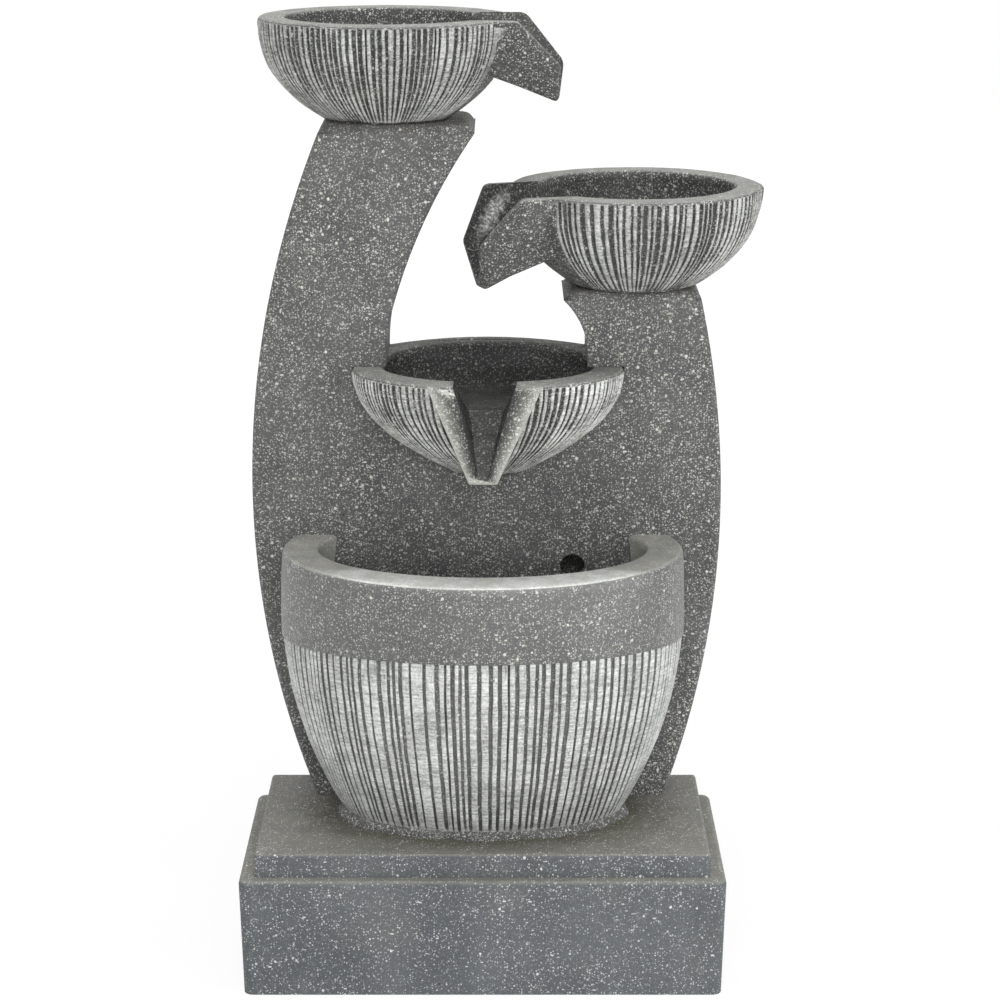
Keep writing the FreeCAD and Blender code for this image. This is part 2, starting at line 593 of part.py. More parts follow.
def make_back():
    """Make the back cover with its screws, and the cable grommet in it."""
    view = column_outline("cover_view", "back_saddle", "0", "back_saddle_radius", COVER_FACE)
    plate = extrude("cover_plate", view, (0, 1, 0), "back_cover")
    opening = soft_box("cover_opening", COVER_FACE, "door_width", "back_cover", "door_height")
    cable_hole = cylinder("cover_cable_hole", "rear_hole_x", COVER_FACE, "rear_hole_z", "rear_hole_radius",
                          "back_cover", "Y")
    holes = []
    screws = []
    for number, (x, z) in enumerate(screw_places()):
        holes.append(screw(f"cover_hole_{number}", x, z, "screw_clearance"))
        screws.append(screw(f"cover_screw_{number}", x, z, "0"))
    seat = vessel("cover_seat", mid_levels("bond"))
    keep("column_back_cover", cut("cover_cast", plate, opening, seat, cable_hole, group("cover_holes", holes)))
    keep("back_cover_screws", group("back_screw_set", screws))
    inner_face = f"({COVER_FACE} - grommet_lip_thick)"
    length = "(back_cover + 2 * grommet_lip_thick)"
    at = ("rear_hole_x", inner_face, "rear_hole_z")
    neck = cylinder("rear_neck", *at, "rear_hole_radius - bond", length, "Y")
    lips = [cylinder(f"rear_lip_{number}", "rear_hole_x", y, "rear_hole_z", "rear_hole_radius + grommet_lip",
                     "grommet_lip_thick", "Y") for number, y in enumerate((inner_face, "column_back"))]
    bore = cylinder("rear_bore", *at, "grommet_bore", length, "Y")
    keep("cable_grommet", cut("rear_grommet", fuse("rear_mass", neck, *lips), bore))


def make_door():
    """Make the access door with its spigot and pull, and the seal that it presses on."""
    lapped = ("(door_width + 2 * door_lap)", "(door_height + 2 * door_lap)")
    face = soft_box("door_face", "column_back + door_seal + bond", lapped[0], "door_plate", lapped[1])
    spigot = soft_box("door_spigot", COVER_FACE, "door_width - 2 * door_clearance",
                      "back_cover + door_seal + door_plate / 2", "door_height - 2 * door_clearance")
    relief = soft_box("door_relief", COVER_FACE, "door_width - 4 * door_plate", "back_cover",
                      "door_height - 4 * door_plate")
    pull = soft_box("door_pull", "column_back + door_seal + door_plate / 2", "pull_width",
                    "pull_depth + door_plate / 2", "pull_height", "pull_edge")
    keep("access_door", fuse("door_mass", face, cut("door_ring", spigot, relief), pull))
    seal = soft_box("seal_plate", "column_back", lapped[0], "door_seal", lapped[1])
    hole = soft_box("seal_hole", "column_back", "door_width", "door_seal", "door_height")
    keep("door_gasket", cut("seal_cast", seal, hole))


def soft_box(name, y, width, depth, height, corner="door_corner"):
    """Make a box with round corners that is centred on the access door."""
    block = box(name + "_box", f"-({width}) / 2", y, f"door_z - ({height}) / 2", width, depth, height)
    return rounded(name, block, corner, level_edge)


def screw(name, x, z, clearance):
    """Make a countersunk screw that runs in from the back, or its hole."""
    shank = cylinder(name + "_shank", x, "column_back - screw_length", z, f"screw_radius + {clearance}",
                     "screw_length", "Y")
    head = cone(name + "_head", x, "column_back - screw_head", z, f"screw_radius + {clearance}",
                f"screw_head_radius + {clearance}", "screw_head", "Y")
    return fuse(name, shank, head)


def upright_edge(edge):
    """Tell whether an edge stands up."""
    return edge.BoundBox.XLength + edge.BoundBox.YLength < 0.01


def level_edge(edge):
    """Tell whether an edge runs from front to back."""
    return edge.BoundBox.XLength + edge.BoundBox.ZLength < 0.01


# Hose and top inlet

def bent_route(points):
    """Return a wire of straight runs and tangent arcs through points, and its bend radii."""
    pieces = []
    radii = []
    start = points[0]
    for index in range(1, len(points) - 1):
        corner = points[index]
        before = (points[index - 1] - corner)
        after = (points[index + 1] - corner)
        half_turn = (math.pi - before.getAngle(after)) / 2
        setback = BEND_SHARE * min(before.Length, after.Length)
        radii.append(setback / math.tan(half_turn))
        into = corner + before.normalize() * setback
        out = corner + after.normalize() * setback
        inward = (before + after).normalize()
        middle = corner + inward * (math.hypot(setback, radii[-1]) - radii[-1])
        pieces.append(Part.LineSegment(start, into).toShape())
        pieces.append(Part.Arc(into, middle, out).toShape())
        start = out
    pieces.append(Part.LineSegment(start, points[-1]).toShape())
    return Part.Wire(pieces), radii


def hose_points():
    """Return the corners of the hose's route, from the pump's barb to the top inlet."""
    inside = f"(({front_at('hose_hole_z')} + column_wall + {COVER_FACE}) / 2)"
    corners = [
        (HOSE_X, "pump_y", f"{PUMP_TOP} + barb_length - hose_lap"), (HOSE_X, "pump_y", "hose_hole_z"),
        (HOSE_X, inside, "hose_hole_z"), ("-hose_side_x", inside, "hose_low_z"),
        ("-hose_side_x", "hose_side_y", "hose_high_z"), ("top_bowl_x", "bowl_y", "hose_top_z"),
        ("top_bowl_x", "bowl_y", f"{NUT_LOW} - barb_length + hose_lap")]
    return [FreeCAD.Vector(*[val(text) for text in corner]) for corner in corners]


def make_hose():
    """Lead the hose from the pump through the column to the top bowl, with its fittings."""
    points = hose_points()
    route, radii = bent_route(points)
    heading = (points[1] - points[0]).normalize()
    outer, bore = [Part.Wire(Part.makeCircle(val(size), points[0], heading))
                   for size in ("hose_radius", "hose_bore")]
    tube = route.makePipeShell([outer], True, False).cut(route.makePipeShell([bore], True, False))
    hose = doc.addObject("Part::Feature", "hose_tube")
    hose.Shape = tube
    section = math.pi * (val("hose_radius") ** 2 - val("hose_bore") ** 2)
    print("hose bend radii", [round(radius, 1) for radius in radii])
    print("hose volume share", round(tube.Volume / (section * route.Length), 4))
    keep("delivery_hose", hose)
    at = (HOSE_X, f"{front_at('hose_hole_z')} - grommet_lip", "hose_hole_z")
    length = "column_wall + 2 * grommet_lip"
    sleeve = cylinder("sleeve_outer", *at, "hose_radius + grommet_lip - bond", length, "Y")
    keep("hose_grommet", cut("sleeve_cast", sleeve,
                             cylinder("sleeve_inner", *at, "hose_radius + hose_ease", length, "Y")))


def make_inlet():
    """Make the threaded nipple in the top bowl's floor with its seal and nut."""
    at = ("top_bowl_x", "bowl_y")
    stem_top = f"({INLET_Z} + inlet_seal)"
    low = f"({NUT_LOW} - barb_length)"
    stem = cylinder("nipple_stem", *at, NUT_LOW, "stem_radius", f"{stem_top} - {NUT_LOW}")
    flange = cylinder("nipple_flange", *at, stem_top, "flange_radius", "flange")
    tail = cylinder("nipple_tail", *at, low, "barb_radius", "barb_length")
    bore = cylinder("nipple_bore", *at, low, "water_bore", f"{stem_top} + flange - {low}")
    keep("inlet_nipple", cut("nipple_cast", fuse("nipple_mass", stem, flange, tail), bore))
    seal = cylinder("inlet_seal_disc", *at, INLET_Z, "flange_radius", "inlet_seal")
    seal_hole = cylinder("inlet_seal_hole", *at, INLET_Z, "stem_radius + bond", "inlet_seal")
    keep("inlet_gasket", cut("inlet_seal_ring", seal, seal_hole))
    prism = bind(doc.addObject("Part::Prism", "nut_prism"), Circumradius="nut_radius", Height="nut")
    place(prism, *at, NUT_LOW, FreeCAD.Rotation())
    keep("inlet_nut", cut("nut_cast", prism, cylinder("nut_hole", *at, NUT_LOW, "stem_radius + bond", "nut")))


# Pump

def across_x(name, x, radius, length):
    """Make a cylinder on the pump's axis."""
    return cylinder(name, x, "pump_y", PUMP_AXIS, radius, length, "X")


def pump_block(name, x, length, grow="0"):
    """Make a block of the pump's cross-section with rounded long edges."""
    block = box(name + "_block", x, f"pump_y - pump_width / 2 - ({grow})", f"{PUMP_LOW} - ({grow})", length,
                f"pump_width + 2 * ({grow})", f"pump_height + 2 * ({grow})")
    return rounded(name, block, "pump_corner",
                   lambda edge: edge.BoundBox.YLength + edge.BoundBox.ZLength < 0.01)


def make_pump():
    """Make the submersible pump's motor, volute, fixed shaft and outlet, with its gland and feet."""
    socket_x = "(pump_x + well_depth)"
    well = across_x("motor_well", "pump_x", "well_radius", "well_depth")
    socket = across_x("motor_socket", socket_x, "bush_radius + shaft_clearance", "bush_length")
    motor = pump_block("motor_mass", "pump_x", "pump_length")
    keep("pump_motor_housing", cut("motor_cast", motor, well, socket))
    web = "(volute_length - chamber_depth)"
    chamber = across_x("volute_chamber", "pump_x - chamber_depth", "chamber_radius", "chamber_depth")
    eye = across_x("volute_eye", PUMP_FRONT, "inlet_radius", web)
    core = across_x("volute_core", PUMP_FRONT, "bush_radius + bush_wall", web)
    arms = [box(f"volute_arm_{axis}", PUMP_FRONT, f"pump_y - {dy} / 2", f"{PUMP_AXIS} - {dz} / 2", web, dy, dz)
            for axis, dy, dz in (("flat", "2 * inlet_radius", "spider"),
                                 ("tall", "spider", "2 * inlet_radius"))]
    ring = cut("volute_eye_cut", eye, core, *arms)
    bush_hole = across_x("volute_bush_hole", PUMP_FRONT, "bush_radius + shaft_clearance", web)
    throat = cylinder("volute_throat", HOSE_X, "pump_y", PUMP_AXIS, "water_bore", "pump_height / 2")
    seat_low = f"({PUMP_TOP} - barb_socket)"
    seat = cylinder("volute_seat", HOSE_X, "pump_y", seat_low, "barb_seat + shaft_clearance", "barb_socket")
    volute = pump_block("volute_mass", PUMP_FRONT, "volute_length")
    keep("pump_volute", cut("volute_cast", volute, chamber, ring, bush_hole, throat, seat))
    for node, x in (("pump_front_bush", PUMP_FRONT), ("pump_rear_bush", socket_x)):
        keep(node, cut(node + "_ring", across_x(node + "_disc", x, "bush_radius", "bush_length"),
                       across_x(node + "_hole", x, "shaft_radius + shaft_clearance", "bush_length")))
    keep("pump_shaft", across_x("shaft_rod", f"{PUMP_FRONT} + spider / 2", "shaft_radius",
                                "volute_length + well_depth + bush_length - spider"))
    base = cylinder("barb_base", HOSE_X, "pump_y", seat_low, "barb_seat", "barb_socket")
    tube = cylinder("barb_tube", HOSE_X, "pump_y", PUMP_TOP, "barb_radius", "barb_length")
    bore = cylinder("barb_bore", HOSE_X, "pump_y", seat_low, "water_bore", "barb_socket + barb_length")
    keep("pump_outlet_barb", cut("barb_cast", fuse("barb_mass", base, tube), bore))
    gland_x = "(pump_x + pump_length)"
    gland_hole = across_x("gland_hole", f"{gland_x} + gland_length / 4", "gland_bore", "gland_length")
    keep("pump_cable_gland", cut("gland_cast", across_x("gland_body", gland_x, "gland_radius", "gland_length"),
                                 gland_hole))
    feet = [cone(f"pump_cup_{number}", x, y, f"{PUMP_LOW} - pump_foot", "pump_foot_radius",
                 "pump_foot_radius / 2", "pump_foot") for number, (x, y) in enumerate(pump_foot_places())]
    keep("pump_feet", group("pump_cups", feet))


def pump_foot_places():
    """Return where the pump's four rubber feet stand under the motor."""
    return [(x, f"pump_y {side} (pump_width / 2 - pump_foot_inset)") for side in "-+"
            for x in ("pump_x + pump_foot_inset", "pump_x + pump_length - pump_foot_inset")]


def make_rotor():
    """Make the bladed impeller with its tail, and the magnet sleeve on the tail."""
    start = "(pump_x - chamber_depth + rotor_gap)"
    sleeve_x = "(pump_x + rotor_gap)"
    length = f"{sleeve_x} + magnet_length - {start}"
    hub = across_x("impeller_hub", start, "hub_radius", length)
    disc = across_x("impeller_disc", f"{start} + impeller_length - blade", "impeller_radius", "blade")
    blades = []
    for number in range(BLADES):
        turn = FreeCAD.Rotation(FreeCAD.Vector(1, 0, 0), 360 * number / BLADES)
        blades.append(box(f"impeller_blade_{number}", start, "pump_y", PUMP_AXIS, "impeller_length", "blade",
                          "impeller_radius - blade / 2", turn))
    bore = across_x("impeller_bore", start, "shaft_radius + shaft_clearance", length)
    keep("pump_impeller", cut("impeller_cast", fuse("impeller_mass", hub, disc, *blades), bore))
    rod = across_x("magnet_rod", sleeve_x, "magnet_radius", "magnet_length")
    hole = across_x("magnet_hole", sleeve_x, "hub_radius + shaft_clearance", "magnet_length")
    keep("pump_magnet", cut("magnet_ring", rod, hole))


def make_intake():
    """Make the slotted intake cover with its sponge and the flow dial in its front."""
    face = f"({PUMP_FRONT} - intake_length)"
    shell = pump_block("intake_mass", face, "intake_length + intake_lap", "intake_clearance + intake_wall")
    hollow = pump_block("intake_hollow", f"{face} + intake_wall", "intake_length + intake_lap",
                        "intake_clearance")
    slots = [box(f"intake_slot_{number}", face, f"pump_y + {shift} * intake_slot_pitch - intake_slot / 2",
                 f"{PUMP_AXIS} - intake_slot_length / 2", "intake_wall", "intake_slot", "intake_slot_length")
             for number, shift in enumerate((-3, -2, 2, 3))]
    hole = across_x("intake_hole", face, "dial_spindle + shaft_clearance", "intake_wall")
    keep("pump_intake_cover", cut("intake_cast", shell, hollow, hole, *slots))
    keep("pump_sponge", pump_block("sponge_block", f"{PUMP_FRONT} - sponge - intake_clearance", "sponge"))
    knob_x = f"({face} - dial_gap - dial)"
    knob = across_x("dial_knob", knob_x, "dial_radius", "dial")
    grip = box("dial_bar", f"{knob_x} - dial_grip", "pump_y - dial_grip / 2", f"{PUMP_AXIS} - dial_radius",
               "dial_grip", "dial_grip", "2 * dial_radius")
    spindle = across_x("dial_spindle_rod", f"{face} - dial_gap", "dial_spindle",
                       "2 * dial_gap + intake_wall + dial_clip")
    clip = across_x("dial_clip_disc", f"{face} + intake_wall + dial_gap", "dial_spindle + dial_clip",
                    "dial_clip")
    keep("pump_flow_dial", fuse("dial_mass", knob, grip, spindle, clip))


# Build, test and write

def write_parts():
    """Test every sub-part and write it to its own file."""
    doc.recompute()
    os.makedirs("parts", exist_ok=True)
    for node, item in parts.items():
        if "Invalid" in item.State or "Error" in item.State or item.Shape.isNull() or not item.Shape.isValid():
            raise RuntimeError(f"{node} is not a sound shape: {item.State}")
        item.Shape.exportStep(f"parts/{node}.step")
        room = item.Shape.optimalBoundingBox(False)
        limits = (room.XMin, room.XMax, room.YMin, room.YMax, room.ZMin, room.ZMax)
        print(node, len(item.Shape.Solids), round(item.Shape.Volume), [round(value, 1) for value in limits])


make_plinth()
make_column()
make_basin()
make_upper_bowl("top", TOP_RIM)
make_upper_bowl("right", RIGHT_RIM)
make_middle_bowl()
make_collar("top_bowl_collar", "left", "-left_arm_outer", "-left_arm_inner")
make_collar("right_bowl_collar", "right", "right_arm_inner", "right_arm_outer")
make_back()
make_door()
make_hose()
make_inlet()
make_pump()
make_rotor()
make_intake()
write_parts()
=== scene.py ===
"""Dress the tiered garden fountain: ribbed cast-stone basin and bowls on a two-armed column."""
import logging
import math
from dataclasses import dataclass, replace
from enum import Enum
from functools import wraps
from typing import Callable, Union

import bmesh
import bpy
import numpy as np
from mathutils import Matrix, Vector


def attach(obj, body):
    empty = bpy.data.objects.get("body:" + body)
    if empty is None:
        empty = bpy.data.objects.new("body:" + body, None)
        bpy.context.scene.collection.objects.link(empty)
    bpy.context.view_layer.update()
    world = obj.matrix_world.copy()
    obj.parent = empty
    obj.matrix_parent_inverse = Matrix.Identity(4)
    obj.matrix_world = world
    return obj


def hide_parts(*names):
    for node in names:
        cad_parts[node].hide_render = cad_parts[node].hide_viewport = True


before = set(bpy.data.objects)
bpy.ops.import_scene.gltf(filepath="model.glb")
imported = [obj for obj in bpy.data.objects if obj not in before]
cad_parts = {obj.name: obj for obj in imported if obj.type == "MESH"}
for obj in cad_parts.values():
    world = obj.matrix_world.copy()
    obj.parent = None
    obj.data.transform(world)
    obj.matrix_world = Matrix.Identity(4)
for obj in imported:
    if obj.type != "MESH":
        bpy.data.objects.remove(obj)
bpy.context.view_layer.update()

LOG = logging.getLogger("fountain")
MM = 0.001
ROOT = "fountain"
Pair = tuple[float, float]
Colour = tuple[float, float, float]
Array = np.ndarray
Sections = tuple[Array, Array, Array]
Item, Mesh, Material = bpy.types.Object, bpy.types.Mesh, bpy.types.Material
Node, Group, Socket = bpy.types.Node, bpy.types.NodeTree, bpy.types.NodeSocket
Ins, Outs = bpy.types.NodeInputs, bpy.types.NodeOutputs
Feed = Union[Socket, float, Colour]


class Carve(Enum):
    """The ways in which one solid can shape another."""

    CUT = "DIFFERENCE"
    JOIN = "UNION"


# Node trees


class Tree:
    """Adds nodes to a shader tree and links them. A feed is a socket to link, or a value to set."""

    def __init__(self, tree: Group) -> None:
        """Keep the tree that takes the nodes."""
        self.tree = tree

    def put(self, socket: Socket, feed: Feed) -> None:
        """Link a socket to another, or set its value.

        Args:
            socket: The socket that takes the feed.
            feed: What goes in.
        """
        if isinstance(feed, Socket):
            self.tree.links.new(feed, socket)
        elif isinstance(feed, tuple) and socket.type == "RGBA":
            socket.default_value = (*feed, 1.0)
        else:
            socket.default_value = feed

    def use(self, kind: str, feeds: dict[Union[int, str], Feed], **settings: object) -> Outs:
        """Add a node and feed it.

        Args:
            kind: The node's type, as its name goes on after ShaderNode.
            feeds: What goes into its inputs, by their numbers or names.
            settings: Properties of the node.

        Returns:
            The node's outputs.
        """
        node = self.tree.nodes.new("ShaderNode" + kind)
        for name, value in settings.items():
            setattr(node, name, value)
        for key, feed in feeds.items():
            self.put(node.inputs[key], feed)
        return node.outputs

    def math(self, operation: str, one: Feed, two: Feed = 0.0, clamp: bool = False) -> Socket:
        """Return the result of an operation on one or two values, kept from 0 to 1 if clamp is set."""
        return self.use("Math", {0: one, 1: two}, operation=operation, use_clamp=clamp)[0]

    def times(self, one: Feed, two: Feed, clamp: bool = False) -> Socket:
        """Return the product of two values, kept from 0 to 1 if clamp is set."""
        return self.math("MULTIPLY", one, two, clamp)

    def plus(self, one: Feed, two: Feed, clamp: bool = False) -> Socket:
        """Return the sum of two values, kept from 0 to 1 if clamp is set."""
        return self.math("ADD", one, two, clamp)

    def minus(self, one: Feed, two: Feed) -> Socket:
        """Return the first value less the second."""
        return self.math("SUBTRACT", one, two)

    def weigh(self, *parts: tuple[Feed, float]) -> Socket:
        """Add up values, each times its weight.

        Args:
            parts: Values with their weights.

        Returns:
            The sum.
        """
        total, *others = [self.times(value, weight) for value, weight in parts]
        for other in others:
            total = self.plus(total, other)
        return total

    def away(self, one: Feed, two: Feed) -> Socket:
        """Return how far a point lies from zero, from its two coordinates."""
        return self.math("SQRT", self.plus(self.math("POWER", one, 2.0), self.math("POWER", two, 2.0)))

    def mix(self, share: Feed, one: Feed, two: Feed) -> Socket:
        """Return a mix of two colours, with a share of the second."""
        return self.use("Mix", {0: share, 6: one, 7: two}, data_type="RGBA", clamp_factor=True)[2]

    def span(self, value: Feed, low: float, high: float, to_low: float = 0.0, to_high: float = 1.0) -> Socket:
        """Map a value from one range onto another, with a smooth step and clamped ends."""
        feeds = dict(enumerate((value, low, high, to_low, to_high)))
        return self.use("MapRange", feeds, interpolation_type="SMOOTHSTEP", clamp=True)[0]

    def noise(self, place: Feed, scale: float, detail: float = 3.0, rough: float = 0.55) -> Socket:
        """Return noise from 0 to 1: its lumps to a metre, its finer layers and their strength."""
        feeds = {"Vector": place, "Scale": scale, "Detail": detail, "Roughness": rough}
        return self.use("TexNoise", feeds)["Fac"]

    def cells(self, place: Feed, scale: float) -> tuple[Socket, Outs]:
        """Return the distance from a cell's middle, and the cell's three random numbers."""
        found = self.use("TexVoronoi", {"Vector": place, "Scale": scale})
        return found["Distance"], self.use("SeparateColor", {0: found["Color"]})

    def parts(self, vector: Feed) -> Outs:
        """Return the three coordinates of a vector."""
        return self.use("SeparateXYZ", {0: vector})

    def stretch(self, place: Feed, scale: Colour, turn: Colour = (0.0, 0.0, 0.0)) -> Socket:
        """Return a position that is stretched, and turned by an angle about each axis."""
        return self.use("Mapping", {"Vector": place, "Scale": scale, "Rotation": turn})[0]

    def from_centre(self, place: Feed, centre: Feed) -> Socket:
        """Return a position measured from a centre."""
        return self.use("VectorMath", {0: place, 1: centre}, operation="SUBTRACT")[0]

    def position(self) -> Socket:
        """Return the position in the object's own coordinates."""
        return self.use("TexCoord", {})["Object"]

    def attribute(self, name: str) -> Socket:
        """Return a value that is kept on the mesh's points under a name."""
        return self.use("Attribute", {}, attribute_name=name)["Fac"]

    def bump(self, height: Feed, strength: float, distance: float) -> Socket:
        """Return a normal tilted by a height, where a height of 1 measures the distance in metres."""
        return self.use("Bump", {"Strength": strength, "Distance": distance, "Height": height})["Normal"]

    def place(self, group: Group, **feeds: Feed) -> Outs:
        """Put a group into the tree, feed its inputs by name and return its outputs."""
        return self.use("Group", feeds, node_tree=group)


Fill = Callable[[Tree, Outs, Ins], None]


def node_group(name: str, vectors: str, numbers: str, outputs: str) -> Callable[[Fill], Callable]:
    """Turn a function that fills a tree into one that returns a node group, which is made once and shared.

    Args:
        name: The group's name.
        vectors: Names of its vector inputs.
        numbers: Names of its number inputs.
        outputs: Names of its number outputs.

    Returns:
        The decorator.
    """
    sockets = [(label, "INPUT", "NodeSocketVector") for label in vectors.split()]
    sockets += [(label, "INPUT", "NodeSocketFloat") for label in numbers.split()]
    sockets += [(label, "OUTPUT", "NodeSocketFloat") for label in outputs.split()]

    def decorate(fill: Fill) -> Callable[[], Group]:
        """Wrap one function.

        Args:
            fill: Fills a tree, given what goes in and what comes out.

        Returns:
            The function that returns the group.
        """
        @wraps(fill)
        def group() -> Group:
            """Make the group the first time.

            Returns:
                The group.
            """
            found = bpy.data.node_groups.get(name)
            if found is None:
                found = bpy.data.node_groups.new(name, "ShaderNodeTree")
                for label, way, kind in sockets:
                    found.interface.new_socket(label, in_out=way, socket_type=kind)
                given, made = found.nodes.new("NodeGroupInput"), found.nodes.new("NodeGroupOutput")
                fill(Tree(found), given.outputs, made.inputs)
            return found
        return group
    return decorate


@dataclass(frozen=True)
class Scatter:
    """One layer of grit: its cells' stretch, turn and density, and its grains' size and strength."""

    stretch: Colour
    turn: Colour
    density: float
    reach: float
    strength: float
    share: float = 1.0


SCATTERS = (
    Scatter((1.0, 1.0, 1.0), (0.0, 0.0, 0.0), 500.0, 0.39, 0.80),
    Scatter((1.0, 0.6, 1.0), (0.5, 0.9, 0.3), 700.0, 0.41, 0.62),
    Scatter((0.4, 1.0, 0.8), (1.1, 0.2, 0.8), 360.0, 0.28, 0.90, 0.7),
    Scatter((1.0, 1.0, 0.9), (0.3, 0.6, 1.2), 185.0, 0.27, 1.0, 0.75),
)
SAND_DENSITY = 720.0
# Where the damp stain and painted shade round the basin's foot lies, and how it is stretched.
STAIN_SHADE_CENTRE = (0.0, 0.009, 0.0)
STAIN_SHADE_SCALE = (8.0, 14.0, 1.0)
# Where the painted glint on the right bowl's wet channel wall lies, and how it is stretched and slanted.
GLINT_CENTRE = (0.0087, 0.0292, 0.630)
GLINT_SCALE = (110.0, 30.0, 55.0)
GLINT_SLANT = 1.1


@node_group("pale grit", "Position", "Share Sand", "Mask Tone")
def fleck_group(tree: Tree, given: Outs, made: Ins) -> None:
    """Scatter pale grit: fine sand all over, and layers of grains and flakes in jittered cells.

    Args:
        tree: The group\'s tree.
        given: What goes in.
        made: What comes out.
    """
    position = given["Position"]
    drift = tree.times(tree.minus(tree.noise(position, 420.0, 2.0), 0.5), 0.16)
    clumps = tree.span(tree.noise(position, 24.0), 0.36, 0.66, 0.88, 1.1)
    distance, chances = tree.cells(position, SAND_DENSITY)
    sand = tree.times(tree.span(chances[0], 0.45, 0.85), tree.span(distance, 0.25, 0.6, 1.0, 0.0))
    total = tree.times(sand, given["Sand"])
    for layer in SCATTERS:
        share = tree.times(tree.times(given["Share"], clumps), layer.share)
        distance, chances = tree.cells(tree.stretch(position, layer.stretch, layer.turn), layer.density)
        reach = tree.span(tree.minus(share, chances[0]), 0.0, 0.38, 0.0, layer.reach)
        inside = tree.minus(reach, tree.plus(distance, drift))
        total = tree.math("MAXIMUM", total, tree.span(inside, 0.0, 0.10, 0.0, layer.strength))
    tree.put(made["Mask"], total)
    tree.put(made["Tone"], chances[1])


@node_group("cast grain", "Position", "", "Height Patch Pit Tooth")
def grain_group(tree: Tree, given: Outs, made: Ins) -> None:
    """Make a cast surface: broad patches, dimples, fine tooth and a few small air pits.

    Args:
        tree: The group\'s tree.
        given: What goes in.
        made: What comes out.
    """
    position = given["Position"]
    patch = tree.noise(position, 9.0, 5.0, 0.6)
    cloud = tree.noise(tree.stretch(position, (1.0, 1.0, 0.45)), 34.0, 4.0, 0.6)
    tooth = tree.noise(position, 860.0, 3.0, 0.6)
    dimple = tree.noise(position, 230.0)
    swell = tree.noise(position, 62.0, 3.0, 0.5)
    distance, chances = tree.cells(position, 95.0)
    pit = tree.times(tree.span(chances[2], 0.88, 0.92), tree.span(distance, 0.04, 0.13, 1.0, 0.0))
    height = tree.weigh((tooth, 0.5), (swell, 0.9), (dimple, 0.55))
    tree.put(made["Height"], tree.minus(height, tree.times(pit, 0.9)))
    tree.put(made["Patch"], tree.weigh((patch, 0.5), (cloud, 0.5)))
    tree.put(made["Pit"], pit)
    tree.put(made["Tooth"], tooth)


@node_group("rubbed ribs", "Position", "Raised Amount", "Mask")
def rub_group(tree: Tree, given: Outs, made: Ins) -> None:
    """Rub pale paint over raised ribs: it is broken by brush lines, scores and worn patches.

    Args:
        tree: The group\'s tree.
        given: What goes in.
        made: What comes out.
    """
    position = given["Position"]
    lines = tree.noise(tree.stretch(position, (0.10, 0.10, 1.0)), 640.0, 3.0, 0.7)
    worn = tree.noise(position, 30.0, 4.0, 0.6)
    speck = tree.noise(position, 480.0, 3.0, 0.6)
    cover = tree.weigh((lines, 0.65), (worn, 0.4), (speck, 0.4))
    streak = tree.noise(tree.stretch(position, (1.0, 1.0, 0.05)), 520.0, 3.0, 0.65)
    laid = tree.times(tree.span(cover, 0.54, 0.92, 0.20, 1.0), tree.span(streak, 0.55, 0.66, 1.0, 0.45))
    tops = tree.span(given["Raised"], 0.35, 0.95)
    tree.put(made["Mask"], tree.times(tree.times(tops, laid), given["Amount"], clamp=True))


@node_group("settled dust and top light", "Position Normal", "Amount", "Mask")
def dust_and_top_light_group(tree: Tree, given: Outs, made: Ins) -> None:
    """Settle dust on faces that look up, which also stands for painted top light: a share that grows with the
    normal's height.

    Args:
        tree: The group\'s tree.
        given: What goes in.
        made: What comes out.
    """
    up = tree.span(tree.parts(given["Normal"])[2], 0.35, 0.92)
    cloud = tree.span(tree.noise(given["Position"], 42.0, 5.0, 0.65), 0.25, 0.75, 0.55, 1.0)
    tree.put(made["Mask"], tree.times(tree.times(up, cloud), given["Amount"], clamp=True))


@node_group("damp stain and shade", "Position Centre", "Amount", "Mask")
def stain_and_shade_group(tree: Tree, given: Outs, made: Ins) -> None:
    """Darken the ground round a vessel with a damp stain and painted shade: a ragged ellipse round a centre,
    strongest in its middle.

    Args:
        tree: The group\'s tree.
        given: What goes in.
        made: What comes out.
    """
    position = given["Position"]
    across, ahead, _ = tree.parts(tree.stretch(tree.from_centre(position, given["Centre"]), STAIN_SHADE_SCALE))
    ragged = tree.plus(tree.away(across, ahead), tree.times(tree.noise(position, 40.0, 4.0, 0.6), 0.35))
    tree.put(made["Mask"], tree.times(tree.span(ragged, 1.1, 1.62, 1.0, 0.0), given["Amount"], clamp=True))


@node_group("painted glint", "Position Centre", "Amount", "Mask")
def painted_glint_group(tree: Tree, given: Outs, made: Ins) -> None:
    """Paint a white glint where a highlight falls on the wet channel wall: a slanted, ragged and broken patch
    round a centre.

    Args:
        tree: The group\'s tree.
        given: What goes in.
        made: What comes out.
    """
    position = given["Position"]
    across, _, up = tree.parts(tree.stretch(tree.from_centre(position, given["Centre"]), GLINT_SCALE))
    leaned = tree.minus(across, tree.times(up, GLINT_SLANT))
    ragged = tree.plus(tree.away(leaned, up), tree.times(tree.noise(position, 170.0, 4.0, 0.6), 1.6))
    broken = tree.span(tree.noise(position, 420.0, 3.0, 0.65), 0.42, 0.60, 0.25, 1.0)
    laid = tree.times(tree.span(ragged, 0.85, 2.0, 1.0, 0.0), broken)
    tree.put(made["Mask"], tree.times(laid, given["Amount"], clamp=True))


# Finishes


def fresh_material(name: str) -> tuple[Material, Tree, Node]:
    """Make a material with one surface shader.

    Args:
        name: The material's name.

    Returns:
        The material, its tree and the shader's node.
    """
    material = bpy.data.materials.new(name)
    material.use_nodes = True
    return material, Tree(material.node_tree), material.node_tree.nodes["Principled BSDF"]


def scaled(colour: Colour, factor: float) -> Colour:
    """Return a colour made darker or lighter by a factor, up to white."""
    return tuple(min(1.0, factor * part) for part in colour)


